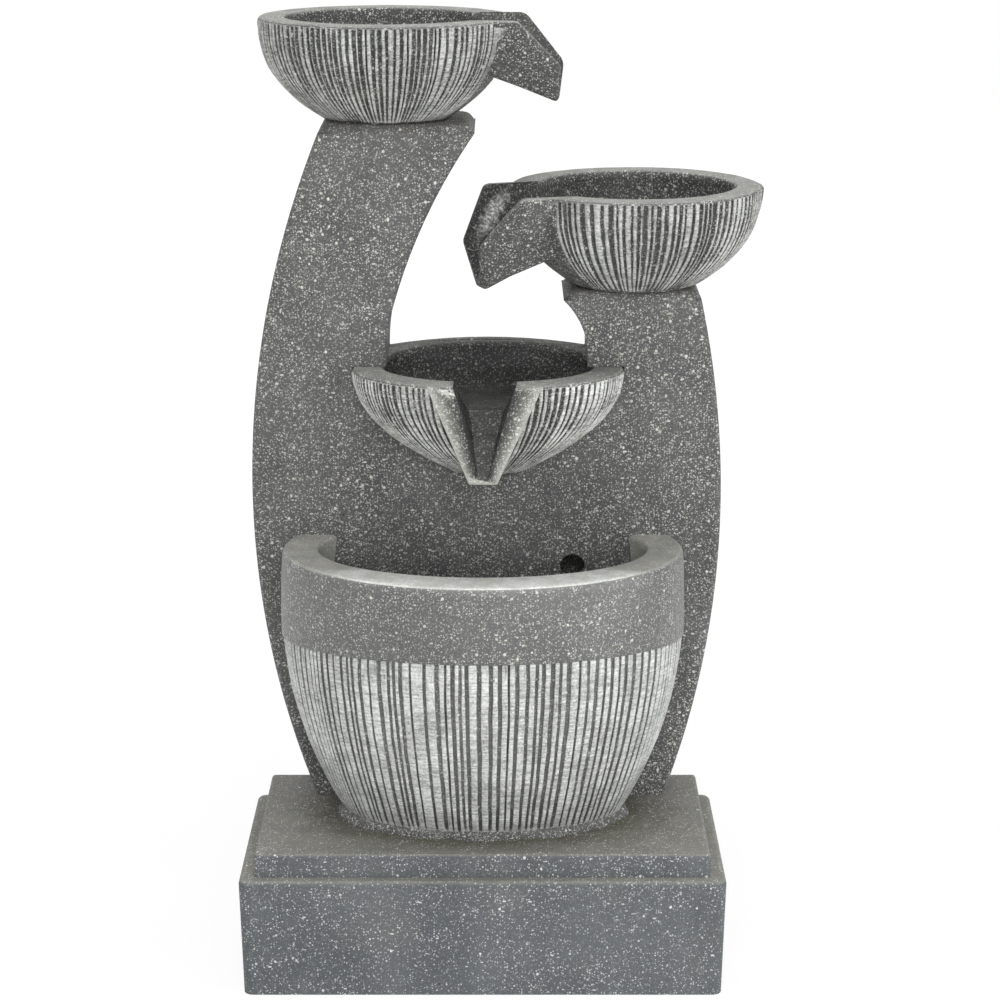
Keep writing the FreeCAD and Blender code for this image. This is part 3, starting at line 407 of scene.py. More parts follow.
@dataclass(frozen=True)
class Finish:
    """What a piece is made of: a material that is built once and shared."""

    name: str

    def material(self) -> Material:
        """Build the material the first time.

        Returns:
            The material.
        """
        found = bpy.data.materials.get(self.name)
        if found is None:
            found, tree, shader = fresh_material(self.name)
            self.fill(tree, shader)
        return found

    def fill(self, tree: Tree, shader: Node) -> None:
        """Set up the surface shader in the material's tree."""
        raise NotImplementedError


@dataclass(frozen=True)
class CastStone(Finish):
    """Grey resin stone with pale grit, rubbed ribs, settled dust that also stands for painted top light, and
    a wet look where water runs that also paints shade in hollows and channels.

    The marks "wet", "raised", "groove" and "grit" on a mesh's points say where each of these shows.
    """

    dark: Colour = (0.055, 0.056, 0.057)
    light: Colour = (0.097, 0.098, 0.098)
    fleck: Colour = (0.66, 0.66, 0.61)
    fleck_share: float = 0.66
    sand: float = 0.28
    rub: Colour = (0.60, 0.61, 0.585)
    rub_amount: float = 0.0
    dust_light: Colour = (0.20, 0.185, 0.16)
    dust_light_amount: float = 0.3
    moss: Colour = (0.15, 0.145, 0.085)
    moss_amount: float = 0.12
    stain_and_shade_amount: float = 0.0
    glint_amount: float = 0.0
    roughness: Pair = (0.50, 0.74)
    wet_roughness: float = 0.22
    wet_amount: float = 0.85
    wet_fleck: float = 0.40
    pit_shade_amount: float = 0.75
    groove_amount: float = 0.45
    specular: float = 0.42
    bump: float = 0.6
    bump_height: float = 0.0012

    def ground(self, tree: Tree, position: Socket, grain: Outs, grit: Socket) -> Socket:
        """Colour the bare stone: light and dark patches, fine tooth, moss, dust that also paints lighter
        tops, and a damp stain with painted shade.

        Args:
            tree: The material's tree.
            position: Where the surface lies.
            grain: The outputs of the cast grain.
            grit: The mark for gritty places.

        Returns:
            The colour.
        """
        colour = tree.mix(tree.span(grain["Patch"], 0.32, 0.68), self.dark, self.light)
        colour = tree.mix(tree.span(grain["Tooth"], 0.35, 0.75, 0.0, 0.35), colour, scaled(self.light, 1.35))
        mossy = tree.span(tree.noise(position, 16.0, 4.0, 0.62), 0.52, 0.74, 0.0, self.moss_amount)
        colour = tree.mix(tree.plus(mossy, tree.times(grit, 0.25)), colour, self.moss)
        normal = tree.use("NewGeometry", {})["Normal"]
        dust_light = tree.place(dust_and_top_light_group(), Position=position, Normal=normal, Amount=self.dust_light_amount)
        # Faces that look up, and faces marked with grit, take the pale dust colour: settled dust, and painted
        # top light.
        colour = tree.mix(tree.math("MAXIMUM", dust_light["Mask"], tree.times(grit, 0.72)), colour, self.dust_light)
        # A damp stain round the basin's foot, which also paints the shade that gathers there.
        if self.stain_and_shade_amount > 0.0:
            stain_shade = tree.place(stain_and_shade_group(), Position=position, Centre=STAIN_SHADE_CENTRE,
                               Amount=self.stain_and_shade_amount)
            colour = tree.mix(stain_shade["Mask"], colour, scaled(self.moss, 0.5))
        return colour

    def fill(self, tree: Tree, shader: Node) -> None:
        """Lay paint, water with painted shade, grit, pits and grooves with painted shade, and a painted glint
        over the bare stone, with a fine bump.

        Args:
            tree: The material's tree.
            shader: Its surface shader.
        """
        position = tree.position()
        wet, raised, groove, grit = (tree.attribute(name) for name in ("wet", "raised", "groove", "grit"))
        grain = tree.place(grain_group(), Position=position)
        share = tree.plus(tree.times(grit, 0.22), self.fleck_share)
        sand = tree.plus(tree.times(grit, 0.3), self.sand)
        fleck = tree.place(fleck_group(), Position=position, Share=share, Sand=sand)
        colour = self.ground(tree, position, grain, grit)
        if self.rub_amount > 0.0:
            rub = tree.place(rub_group(), Position=position, Raised=raised, Amount=self.rub_amount)
            tint = tree.mix(tree.noise(position, 22.0, 2.0), scaled(self.rub, 0.86), self.rub)
            colour = tree.mix(rub["Mask"], colour, tint)
        # Wet places are darkened: wet stone, and painted shade in the hollows and channels.
        colour = tree.mix(tree.times(wet, self.wet_amount), colour, scaled(self.dark, 0.25))
        pale = tree.mix(fleck["Tone"], scaled(self.fleck, 0.66), self.fleck)
        shown = tree.times(fleck["Mask"], tree.span(wet, 0.0, 1.0, 1.0, self.wet_fleck))
        colour = tree.mix(shown, colour, pale)
        # Painted shade in the small air pits.
        colour = tree.mix(tree.times(grain["Pit"], self.pit_shade_amount), colour, scaled(self.dark, 0.3))
        # Painted shade in the grooves, darker deeper down.
        colour = tree.mix(tree.times(groove, self.groove_amount), colour, scaled(self.dark, 0.4))
        # A painted glint: a white patch where a highlight falls on the right bowl's wet channel wall.
        if self.glint_amount > 0.0:
            glint = tree.place(painted_glint_group(), Position=position, Centre=GLINT_CENTRE, Amount=self.glint_amount)
            colour = tree.mix(tree.times(glint["Mask"], tree.span(wet, 0.3, 0.6)), colour, self.rub)
        tree.put(shader.inputs["Base Color"], colour)
        dry = tree.span(grain["Tooth"], 0.3, 0.7, *self.roughness)
        wetted = tree.times(wet, tree.span(grain["Patch"], 0.3, 0.6, 0.6, 1.0))
        drop = tree.times(tree.minus(dry, self.wet_roughness), wetted)
        tree.put(shader.inputs["Roughness"], tree.minus(dry, drop))
        shader.inputs["Specular IOR Level"].default_value = self.specular
        height = tree.plus(grain["Height"], tree.times(fleck["Mask"], 0.25))
        tree.put(shader.inputs["Normal"], tree.bump(height, self.bump, self.bump_height))


@dataclass(frozen=True)
class Moulded(Finish):
    """Moulded plastic, rubber, foam, ceramic or plated metal: one colour with fine grain and wear."""

    colour: Colour
    roughness: float = 0.5
    spread: float = 0.12
    metallic: float = 0.0
    grain: float = 700.0
    bump: float = 0.15
    bump_height: float = 0.0004
    stretch: Colour = (1.0, 1.0, 1.0)

    def fill(self, tree: Tree, shader: Node) -> None:
        """Set a mottled colour, uneven roughness and a fine bump.

        Args:
            tree: The material's tree.
            shader: Its surface shader.
        """
        position = tree.stretch(tree.position(), self.stretch)
        fine = tree.noise(position, self.grain, 3.0, 0.6)
        broad = tree.noise(position, 45.0, 4.0, 0.6)
        mottled = tree.mix(tree.span(broad, 0.3, 0.7), scaled(self.colour, 0.8), scaled(self.colour, 1.18))
        tree.put(shader.inputs["Base Color"], mottled)
        uneven = tree.weigh((fine, self.spread), (broad, self.spread))
        tree.put(shader.inputs["Roughness"], tree.plus(uneven, self.roughness - self.spread, clamp=True))
        shader.inputs["Metallic"].default_value = self.metallic
        tree.put(shader.inputs["Normal"], tree.bump(fine, self.bump, self.bump_height))


COLUMN_STONE = CastStone("column stone", moss_amount=0.10)
PLINTH_STONE = CastStone("plinth stone", dark=(0.064, 0.071, 0.076), light=(0.106, 0.115, 0.122),
                         dust_light=(0.31, 0.295, 0.25), dust_light_amount=0.68, fleck=(0.74, 0.75, 0.73),
                         fleck_share=0.46, sand=0.16, stain_and_shade_amount=0.7)
BASIN_STONE = CastStone("ribbed basin stone", dark=(0.056, 0.058, 0.057), light=(0.098, 0.100, 0.099),
                        rub=(0.86, 0.88, 0.86), rub_amount=1.0, dust_light=(0.52, 0.51, 0.47), dust_light_amount=0.6,
                        fleck_share=0.58, roughness=(0.30, 0.46), specular=0.85)
BOWL_STONE = CastStone("ribbed bowl stone", rub=(0.70, 0.71, 0.68), rub_amount=1.0, dust_light=(0.44, 0.44, 0.41),
                       dust_light_amount=0.6, moss_amount=0.16, specular=0.12)
RIGHT_STONE = replace(BOWL_STONE, name="right bowl stone", glint_amount=0.95)
MIDDLE_STONE = replace(BOWL_STONE, name="middle bowl stone", rub=(0.93, 0.94, 0.90))
MORTAR = CastStone("mortar", sand=0.4, moss_amount=0.2, bump=0.9)
BOARD = Moulded("base board", (0.05, 0.05, 0.052), 0.75, grain=300.0)
DOOR_PLASTIC = Moulded("grey door plastic", (0.105, 0.108, 0.112), 0.55, bump=0.3)
BLACK_RUBBER = Moulded("black rubber", (0.022, 0.022, 0.023), 0.72, grain=500.0)
MILKY_TUBE = Moulded("milky tube", (0.52, 0.54, 0.52), 0.30, grain=200.0, bump=0.05)
ZINC = Moulded("zinc plated steel", (0.55, 0.55, 0.56), 0.34, metallic=1.0, stretch=(1.0, 1.0, 0.2))
FITTING_PLASTIC = Moulded("dark fitting plastic", (0.035, 0.036, 0.038), 0.42)
PUMP_PLASTIC = Moulded("pump plastic", (0.02, 0.021, 0.023), 0.48, bump=0.3)
CERAMIC = Moulded("ground ceramic", (0.74, 0.73, 0.69), 0.25, grain=900.0, bump=0.05)
FERRITE = Moulded("sintered ferrite", (0.045, 0.045, 0.048), 0.58, metallic=0.3)
FOAM = Moulded("open foam", (0.025, 0.026, 0.028), 0.95, grain=260.0, bump=1.0)


# Meshes

MERGE = 0.0008
ROUND_STEPS = 5
QUARTER = np.linspace(0.0, np.pi / 2, ROUND_STEPS + 1)[1:, None]


def ease(value: Array, low: float, high: float) -> Array:
    """Return a smooth step from 0 at low to 1 at high."""
    share = np.clip((value - low) / (high - low), 0.0, 1.0)
    return share * share * (3.0 - 2.0 * share)


def wander(points: Array, seed: int, longest: float, shortest: float, waves: int = 14) -> Array:
    """Return smooth noise from about -1 to 1: a mean of sine waves with random headings, lengths and phases.

    Args:
        points: Positions in millimetres, the last axis being the coordinates.
        seed: Picks the waves.
        longest: Longest wave in millimetres.
        shortest: Shortest wave in millimetres.
        waves: How many waves are added.

    Returns:
        The noise at each point.
    """
    draw = np.random.default_rng(seed)
    headings = draw.normal(size=(waves, points.shape[-1]))
    headings /= np.linalg.norm(headings, axis=1, keepdims=True)
    lengths = np.geomspace(longest, shortest, waves)
    phases = draw.uniform(0.0, 2.0 * np.pi, waves)
    strength = np.sqrt(lengths / longest)
    inner = np.tensordot(points, headings.T, axes=1) * (2.0 * np.pi / lengths) + phases
    return (np.sin(inner) * strength).sum(axis=-1) / strength.sum() * 2.0


def roughen(points: Array, middle: Array, noise: Array, amount: float) -> Array:
    """Push a grid's points along their way from a middle by noise, apart from its first and last rows.

    Args:
        points: The grid.
        middle: What each point is pushed away from.
        noise: Noise at each point.
        amount: What a noise of 1 measures, in millimetres.

    Returns:
        The uneven grid.
    """
    outward = points - middle
    outward /= np.maximum(np.linalg.norm(outward, axis=-1, keepdims=True), 1.0)
    rough = points + outward * noise[..., None] * amount
    rough[0], rough[-1] = points[0], points[-1]
    return rough


def inside_by(across: Array, ahead: Array, half: Array, reach: Array) -> Array:
    """Return how far points lie inside an ellipse, on the way straight out from its middle."""
    share = np.hypot(across / half, ahead / reach)
    return np.hypot(across, ahead) * (1.0 / np.maximum(share, 0.01) - 1.0)


def grid_faces(rows: int, columns: int, closed: bool) -> Array:
    """Return the four-sided faces of a grid whose points are numbered row by row.

    Args:
        rows: Number of rows.
        columns: Number of columns.
        closed: Whether the last column joins the first.

    Returns:
        Corner numbers, one face to a row.
    """
    across = np.arange(columns if closed else columns - 1)
    row, column = np.meshgrid(np.arange(rows - 1) * columns, across, indexing="ij")
    right = (column + 1) % columns
    corners = (row + column, row + right, row + columns + right, row + columns + column)
    return np.stack(corners, axis=-1).reshape(-1, 4)


def solid_mesh(name: str, points: Array, closed: bool) -> Mesh:
    """Skin a grid as a closed mesh: merge doubles, fill open ends and turn the faces outwards.

    Args:
        name: The mesh's name.
        points: The grid, in millimetres.
        closed: Whether its last column joins the first.

    Returns:
        The mesh, in metres.
    """
    faces = grid_faces(*points.shape[:2], closed=closed)
    mesh = bpy.data.meshes.new(name)
    mesh.from_pydata((points.reshape(-1, 3) * MM).tolist(), [], faces.tolist())
    build = bmesh.new()
    build.from_mesh(mesh)
    bmesh.ops.remove_doubles(build, verts=build.verts, dist=MERGE * MM)
    bmesh.ops.dissolve_degenerate(build, edges=build.edges, dist=MERGE * MM)
    open_edges = [edge for edge in build.edges if edge.is_boundary]
    if open_edges:
        bmesh.ops.holes_fill(build, edges=open_edges, sides=0)
    bmesh.ops.recalc_face_normals(build, faces=build.faces)
    build.to_mesh(mesh)
    build.free()
    return mesh


def mesh_points(mesh: Mesh) -> Array:
    """Read where a mesh's points lie.

    Args:
        mesh: The mesh.

    Returns:
        Their coordinates in millimetres, one row for each of x, y and z.
    """
    flat = np.empty(len(mesh.vertices) * 3, dtype=np.float32)
    mesh.vertices.foreach_get("co", flat)
    return (flat.reshape(-1, 3).astype(float) / MM).T


def mark(mesh: Mesh, **marks: Array) -> None:
    """Keep values for each point of a mesh, by name.

    Args:
        mesh: The mesh.
        marks: One value for each point.
    """
    for name, values in marks.items():
        layer = mesh.attributes.new(name, "FLOAT", "POINT")
        layer.data.foreach_set("value", np.ascontiguousarray(values, dtype=np.float32))


def bare_object(name: str, mesh: Mesh) -> Item:
    """Put a mesh into the scene at the origin.

    Args:
        name: The object's name.
        mesh: The mesh.

    Returns:
        The object.
    """
    item = bpy.data.objects.new(name, mesh)
    bpy.context.scene.collection.objects.link(item)
    return item


def modify(item: Item, kind: str, **settings: object) -> None:
    """Apply a modifier to an object's mesh.

    Args:
        item: The object.
        kind: The modifier's type.
        settings: Its properties.
    """
    modifier = item.modifiers.new("shape", kind)
    for name, value in settings.items():
        setattr(modifier, name, value)
    bpy.context.view_layer.update()
    graph = bpy.context.evaluated_depsgraph_get()
    mesh = bpy.data.meshes.new_from_object(item.evaluated_get(graph))
    item.modifiers.clear()
    item.data = mesh


def carve(item: Item, tool: Item, way: Carve) -> None:
    """Shape one closed solid by another, which is used up."""
    modify(item, "BOOLEAN", object=tool, operation=way.value, solver="EXACT")
    bpy.data.objects.remove(tool)


def soften(item: Item, width: float, angle: float = 35.0, segments: int = 3) -> None:
    """Round the edges of a solid that are sharper than an angle in degrees, by a width in millimetres."""
    modify(item, "BEVEL", width=width * MM, segments=segments, limit_method="ANGLE",
           angle_limit=math.radians(angle), harden_normals=False)


def hand_over(item: Item, finish: Finish, sharp: float, slot: str, body: str, *nodes: str) -> None:
    """Shade and dress a finished piece, and hang it on its body.

    Args:
        item: The piece.
        finish: What it is made of.
        sharp: Edges sharper than this angle in degrees stay sharp.
        slot: Not used.
        body: The body that it rides on.
        nodes: The solids that it stands for.
    """
    mesh = item.data
    mesh.polygons.foreach_set("use_smooth", np.ones(len(mesh.polygons), dtype=bool))
    mesh.set_sharp_from_angle(angle=math.radians(sharp))
    mesh.update()
    mesh.materials.clear()
    mesh.materials.append(finish.material())
    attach(item, body)
    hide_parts(*nodes)
    LOG.info("%s: %d faces", item.name, len(mesh.polygons))


# Ribs

RIB_WIDTHS = (0.6, 0.78, 0.98, 1.2, 1.5)
RIB_CHANCES = (0.16, 0.24, 0.28, 0.22, 0.10)
GROOVE_ACROSS = np.array([-0.62, -0.5, -0.36, 0.0, 0.36, 0.5, 0.62])
GROOVE_SUNK = np.array([0.0, 0.16, 0.80, 1.0, 0.80, 0.16, 0.0])
RIB_TOPS = np.array([0.3, 0.7])


@dataclass(frozen=True)
class Ribbing:
    """Hand-cut grooves round a vessel between two angles in degrees, with ribs of uneven width."""

    start: float
    end: float
    pitch: float
    depth: float
    seed: int
    groove_share: float = 0.44
    fullest: float = 0.6
    crown: float = 0.0
    plain_step: float = 3.0

    def columns(self, radius: float, closed: bool) -> Sections:
        """Lay out the columns of a grid so that they follow the grooves.

        Each groove has seven columns across it, from edge to edge, and each rib two more on its top.

        Args:
            radius: Radius at which the pitch is measured, in millimetres.
            closed: Whether plain columns go on round the rest of the circle, or only to the half turn's ends.

        Returns:
            Angles in radians, groove depth as a share, and the number of each column's groove.
        """
        draw = np.random.default_rng(self.seed)
        span = math.radians(self.end - self.start)
        count = int(span * radius / self.pitch)
        widths = draw.choice(RIB_WIDTHS, size=count, p=RIB_CHANCES)
        widths *= draw.uniform(0.88, 1.12, count)
        edges = np.concatenate([[0.0], np.cumsum(widths)])
        middles = math.radians(self.start) + span * (edges[:-1] + edges[1:]) / 2.0 / edges[-1]
        grooves = self.groove_share * self.pitch / radius * draw.uniform(0.5, 1.4, count)
        grooves = np.minimum(grooves, self.fullest * span * widths / edges[-1])
        angles = middles[:, None] + GROOVE_ACROSS * grooves[:, None]
        sunk = np.broadcast_to(GROOVE_SUNK, angles.shape)
        number = np.broadcast_to(np.arange(count)[:, None], angles.shape)
        tops = angles[:-1, -1:] + (angles[1:, :1] - angles[:-1, -1:]) * RIB_TOPS
        plain = self.plain_columns(angles[0, 0], angles[-1, -1], closed)
        found = np.concatenate([angles.ravel(), tops.ravel(), plain])
        shares = np.concatenate([sunk.ravel(), np.full(tops.size, -self.crown), np.zeros(plain.size)])
        numbers = np.concatenate([number.ravel(), np.repeat(np.arange(count - 1), RIB_TOPS.size),
                                  np.zeros(plain.size, dtype=int)])
        order = np.argsort(found)
        return found[order], shares[order], numbers[order]

    def plain_columns(self, low: float, high: float, closed: bool) -> Array:
        """Lay out the columns beyond the grooves.

        Args:
            low: Angle where the grooves start.
            high: Angle where they end.
            closed: Whether the columns go on round the rest of the circle, or only to the half turn's ends.

        Returns:
            Their angles.
        """
        if not closed:
            return np.concatenate([np.linspace(0.0, low, 4)[:-1], np.linspace(high, np.pi, 4)[1:]])
        rest = 2.0 * np.pi - (high - low)
        steps = int(rest / math.radians(self.plain_step))
        return high + rest * np.arange(1, steps) / steps

    def cut(self, share: Array, number: Array, along: Array) -> tuple[Array, Array]:
        """Work out how deep each column lies and how far it strays, along its groove.

        The depth swells and fades along the groove as a sine with its own phase, and so does the stray.

        Args:
            share: Groove depth share of each column.
            number: Groove number of each column.
            along: Place along the groove from 0 to 1, as rows by columns.

        Returns:
            Depth in millimetres and stray in pitches, both as rows by columns.
        """
        draw = np.random.default_rng(self.seed + 1)
        count = number.max() + 1
        phases = draw.uniform(0.0, 2.0 * np.pi, (3, count))[:, number]
        deep = draw.uniform(0.75, 1.2, count)[number]
        waves = draw.uniform(1.0, 2.6, count)[number]
        turn = 2.0 * np.pi * along * waves
        depth = self.depth * share * deep * (0.86 + 0.14 * np.sin(turn * 1.7 + phases[0]))
        stray = 0.028 * np.sin(turn + phases[1]) + 0.016 * np.sin(2.3 * turn + phases[2])
        return depth, stray


# The column's leaning front


@dataclass(frozen=True)
class LeaningFront:
    """The plane of the column's front, which leans towards the viewer as it rises."""

    foot_y: float = 45.0
    foot_z: float = 121.0
    lean: float = 5.0

    def y(self, z: Array) -> Array:
        """Return where the front stands at a height."""
        return self.foot_y - (z - self.foot_z) * math.tan(math.radians(self.lean))


FRONT = LeaningFront()
FORWARD = 36.0


def past_half(reach: Array) -> Array:
    """Return the angle that an ellipse goes on behind its widest line before it meets the column."""
    return np.arcsin(FORWARD / np.maximum(reach, FORWARD))


def round_front(angle: Array, z: Array, half: Array, reach: Array) -> Array:
    """Place points on ellipses whose middle stands in front of the column, from the column round to it again.

    The half turn of angles is stretched at each height, so that it starts and ends where the ellipse
    meets the front.

    Args:
        angle: Place round the ellipse from 0 to a half turn.
        z: Height of each point.
        half: Half width of the ellipse.
        reach: Its reach forward.

    Returns:
        The points.
    """
    bent = angle + past_half(reach) * (2.0 * angle / np.pi - 1.0)
    y = FRONT.y(z) - FORWARD - reach * np.sin(bent)
    return np.stack([half * np.cos(bent), y, z + 0.0 * bent], axis=-1)


# Basin


@dataclass
class Basin:
    """The half-round basin that stands against the column: a plain band over a ribbed body."""

    foot_z: float = 121.0
    belly_z: float = 300.0
    rim_z: float = 361.0
    foot: Pair = (114.0, 60.0)
    belly: Pair = (167.0, 124.0)
    rim: Pair = (164.5, 121.0)
    wall: Pair = (30.0, 35.0)
    floor_z: float = 137.0
    floor: Pair = (92.0, 36.0)
    curve: float = 0.8
    band_sides: float = 281.0
    band_front: float = 297.0
    band_step: float = 1.3
    edge: float = 4.0
    ribbing: Ribbing = Ribbing(2.0, 178.0, pitch=6.5, depth=2.1, seed=11, groove_share=0.46)
    body_rows: int = 60
    band_rows: int = 12
    hollow_rows: int = 25
    seed: int = 5
    waves: Pair = (60.0, 7.0)
    uneven: float = 0.28

    def swell(self, z: Array, which: int, low_z: float, low: float, full: float) -> Array:
        """Return a half width or reach at a height: a sine swell to the belly, then closing to the rim.

        Args:
            z: The height.
            which: 0 for the half width and 1 for the reach.
            low_z: Height of the low end.
            low: Size at the low end.
            full: Size at the belly.

        Returns:
            The size at each height.
        """
        share = np.clip((z - low_z) / (self.belly_z - low_z), 0.0, 1.0)
        above = np.clip((z - self.belly_z) / (self.rim_z - self.belly_z), 0.0, 1.0)
        below = low + (full - low) * np.sin(np.pi / 2 * share) ** self.curve
        return below + (self.rim[which] - self.belly[which]) * above ** 2

    def outer(self, z: Array, which: int) -> Array:
        """Return the half width (0) or the reach (1) of the outside at a height."""
        return self.swell(z, which, self.foot_z, self.foot[which], self.belly[which])

    def inner(self, z: Array, which: int) -> Array:
        """Return the half width (0) or the reach (1) of the hollow at a height."""
        return self.swell(z, which, self.floor_z, self.floor[which], self.belly[which] - self.wall[which])

    def outside(self, angles: Array, z: Array, inset: Array) -> Array:
        """Place points at angles and heights on the outside, each set in by a depth."""
        return round_front(angles, z, self.outer(z, 0) - inset, self.outer(z, 1) - inset)

    def body(self) -> tuple[Array, Array]:
        """Lay out the ribbed body, the step up to the band, and the band.

        Returns:
            The angles of the columns, and the points.
        """
        angles, share, number = self.ribbing.columns(self.belly[0], closed=False)
        one = np.ones((1, angles.size))
        band = self.band_sides + (self.band_front - self.band_sides) * np.sin(angles)
        along = np.linspace(0.0, 1.0, self.body_rows)[:, None] * one
        depth, stray = self.ribbing.cut(share, number, along)
        body_z = self.foot_z + (band - self.foot_z) * along
        depth = depth * ease(body_z, self.foot_z + 3.0, self.foot_z + 14.0)
        ends = ease(band - body_z, 0.2, 2.4)
        inset = self.band_step + depth + 0.5 * (1.0 - ends) * (share < 0.5)
        bent = angles + stray * self.ribbing.pitch / self.belly[0] * ease(np.sin(angles), 0.0, 0.1)
        lip_z = np.stack([band + 0.3, band + 1.2])
        band_z = band + (self.rim_z - self.edge - band) * np.linspace(0.08, 1.0, self.band_rows)[:, None]
        lip_in = np.array([[0.5], [0.0]])
        rows = [self.outside(bent, body_z, inset), self.outside(angles * one, lip_z, lip_in),
                self.outside(angles * one, band_z, np.zeros((1, 1)))]
        return angles, np.concatenate(rows)

    def hollow(self, angles: Array) -> Array:
        """Lay out the rounded rim, the hollow and its floor, which runs to the foot of the column's front.

        Args:
            angles: Angles of the columns.

        Returns:
            The points.
        """
        one = np.ones((1, angles.size))
        base = self.rim_z - self.edge
        out_in = self.edge * (1.0 - np.cos(QUARTER)) * one
        in_in = self.edge * (np.sin(QUARTER) - 1.0) * one
        out_z, in_z = (base + self.edge * np.sin(QUARTER)) * one, (base + self.edge * np.cos(QUARTER)) * one
        round_out = round_front(angles * one, out_z, self.rim[0] - out_in, self.rim[1] - out_in)
        mouth = self.rim[0] - self.wall[0], self.rim[1] - self.wall[1]
        round_in = round_front(angles * one, in_z, mouth[0] - in_in, mouth[1] - in_in)
        fall = np.linspace(0.0, 1.0, self.hollow_rows + 1)[1:, None] ** 1.2
        inner_z = (base + (self.floor_z - self.rim_z + self.edge) * fall) * one
        inside = round_front(angles * one, inner_z, self.inner(inner_z, 0), self.inner(inner_z, 1))
        meeting = np.array([0.0, FRONT.y(self.floor_z), self.floor_z])
        floor = meeting + (inside[-1:] - meeting) * np.array([0.66, 0.33, 0.0])[:, None, None]
        return np.concatenate([round_out, round_in, inside, floor])

    def build(self) -> None:
        """Sweep the wall's profile round an ellipse cut off by the column, with grooves in the outside."""
        angles, body = self.body()
        under = np.array([0.0, FRONT.y(self.foot_z), self.foot_z]) * np.ones((1, angles.size, 1))
        points = np.concatenate([under, body, self.hollow(angles)])
        z = points[..., 2]
        middle = np.stack([0.0 * z, FRONT.y(z) - FORWARD, z], axis=-1)
        rough = roughen(points, middle, wander(points, self.seed, *self.waves), self.uneven)
        rough[:, [0, -1], 1] = FRONT.y(rough[:, [0, -1], 2])
        mesh = solid_mesh("basin_shell", rough, closed=False)
        self.paint(mesh)
        hand_over(bare_object("ribbed_basin", mesh), BASIN_STONE, 48.0, "cast_basin", ROOT, "basin")

    def paint(self, mesh: Mesh) -> None:
        """Mark rib tops, painted shade in the grooves, and the wet hollow, whose darkening deeper down is
        also painted shade, by how deep a point lies under the smooth outside.

        Args:
            mesh: The basin's mesh.
        """
        x, y, z = mesh_points(mesh)
        half, reach = self.outer(z, 0), self.outer(z, 1)
        ahead = FRONT.y(z) - FORWARD - y
        depth = inside_by(x, ahead, half, reach)
        past = past_half(reach)
        bent = (np.arctan2(ahead / reach, x / half) + np.pi / 2) % (2.0 * np.pi) - np.pi / 2
        front = np.sin((bent + past) / (1.0 + 2.0 * past / np.pi))
        band = self.band_sides + (self.band_front - self.band_sides) * np.clip(front, 0.0, 1.0)
        ribbed = (z < band + 0.2) & (depth < 8.0)
        sunk = depth - self.band_step
        # The front rim top gets rub paint and grit: pale rubbing, and painted light where the top light falls
        # on it.
        rim = (z > self.rim_z - 1.5) * ease(front, 0.6, 0.9)
        ends = 0.55 * (z > self.rim_z - 24.0) * (1.0 - ease(front, 0.12, 0.45))
        mark(mesh, raised=np.where(ribbed, np.clip(1.5 - sunk / 0.9, 0.0, 1.0), 1.3 * rim),
             # Painted shade in the grooves.
             groove=np.where(ribbed, ease(sunk, 0.7, 1.8), 0.0),
             # Wet hollow, darker deeper down: wet stone and painted shade.
             wet=np.where(depth > 10.0, ease(self.rim_z - z, 22.0, 60.0), 0.0),
             grit=np.maximum(ends, 0.9 * rim))


# Bowls


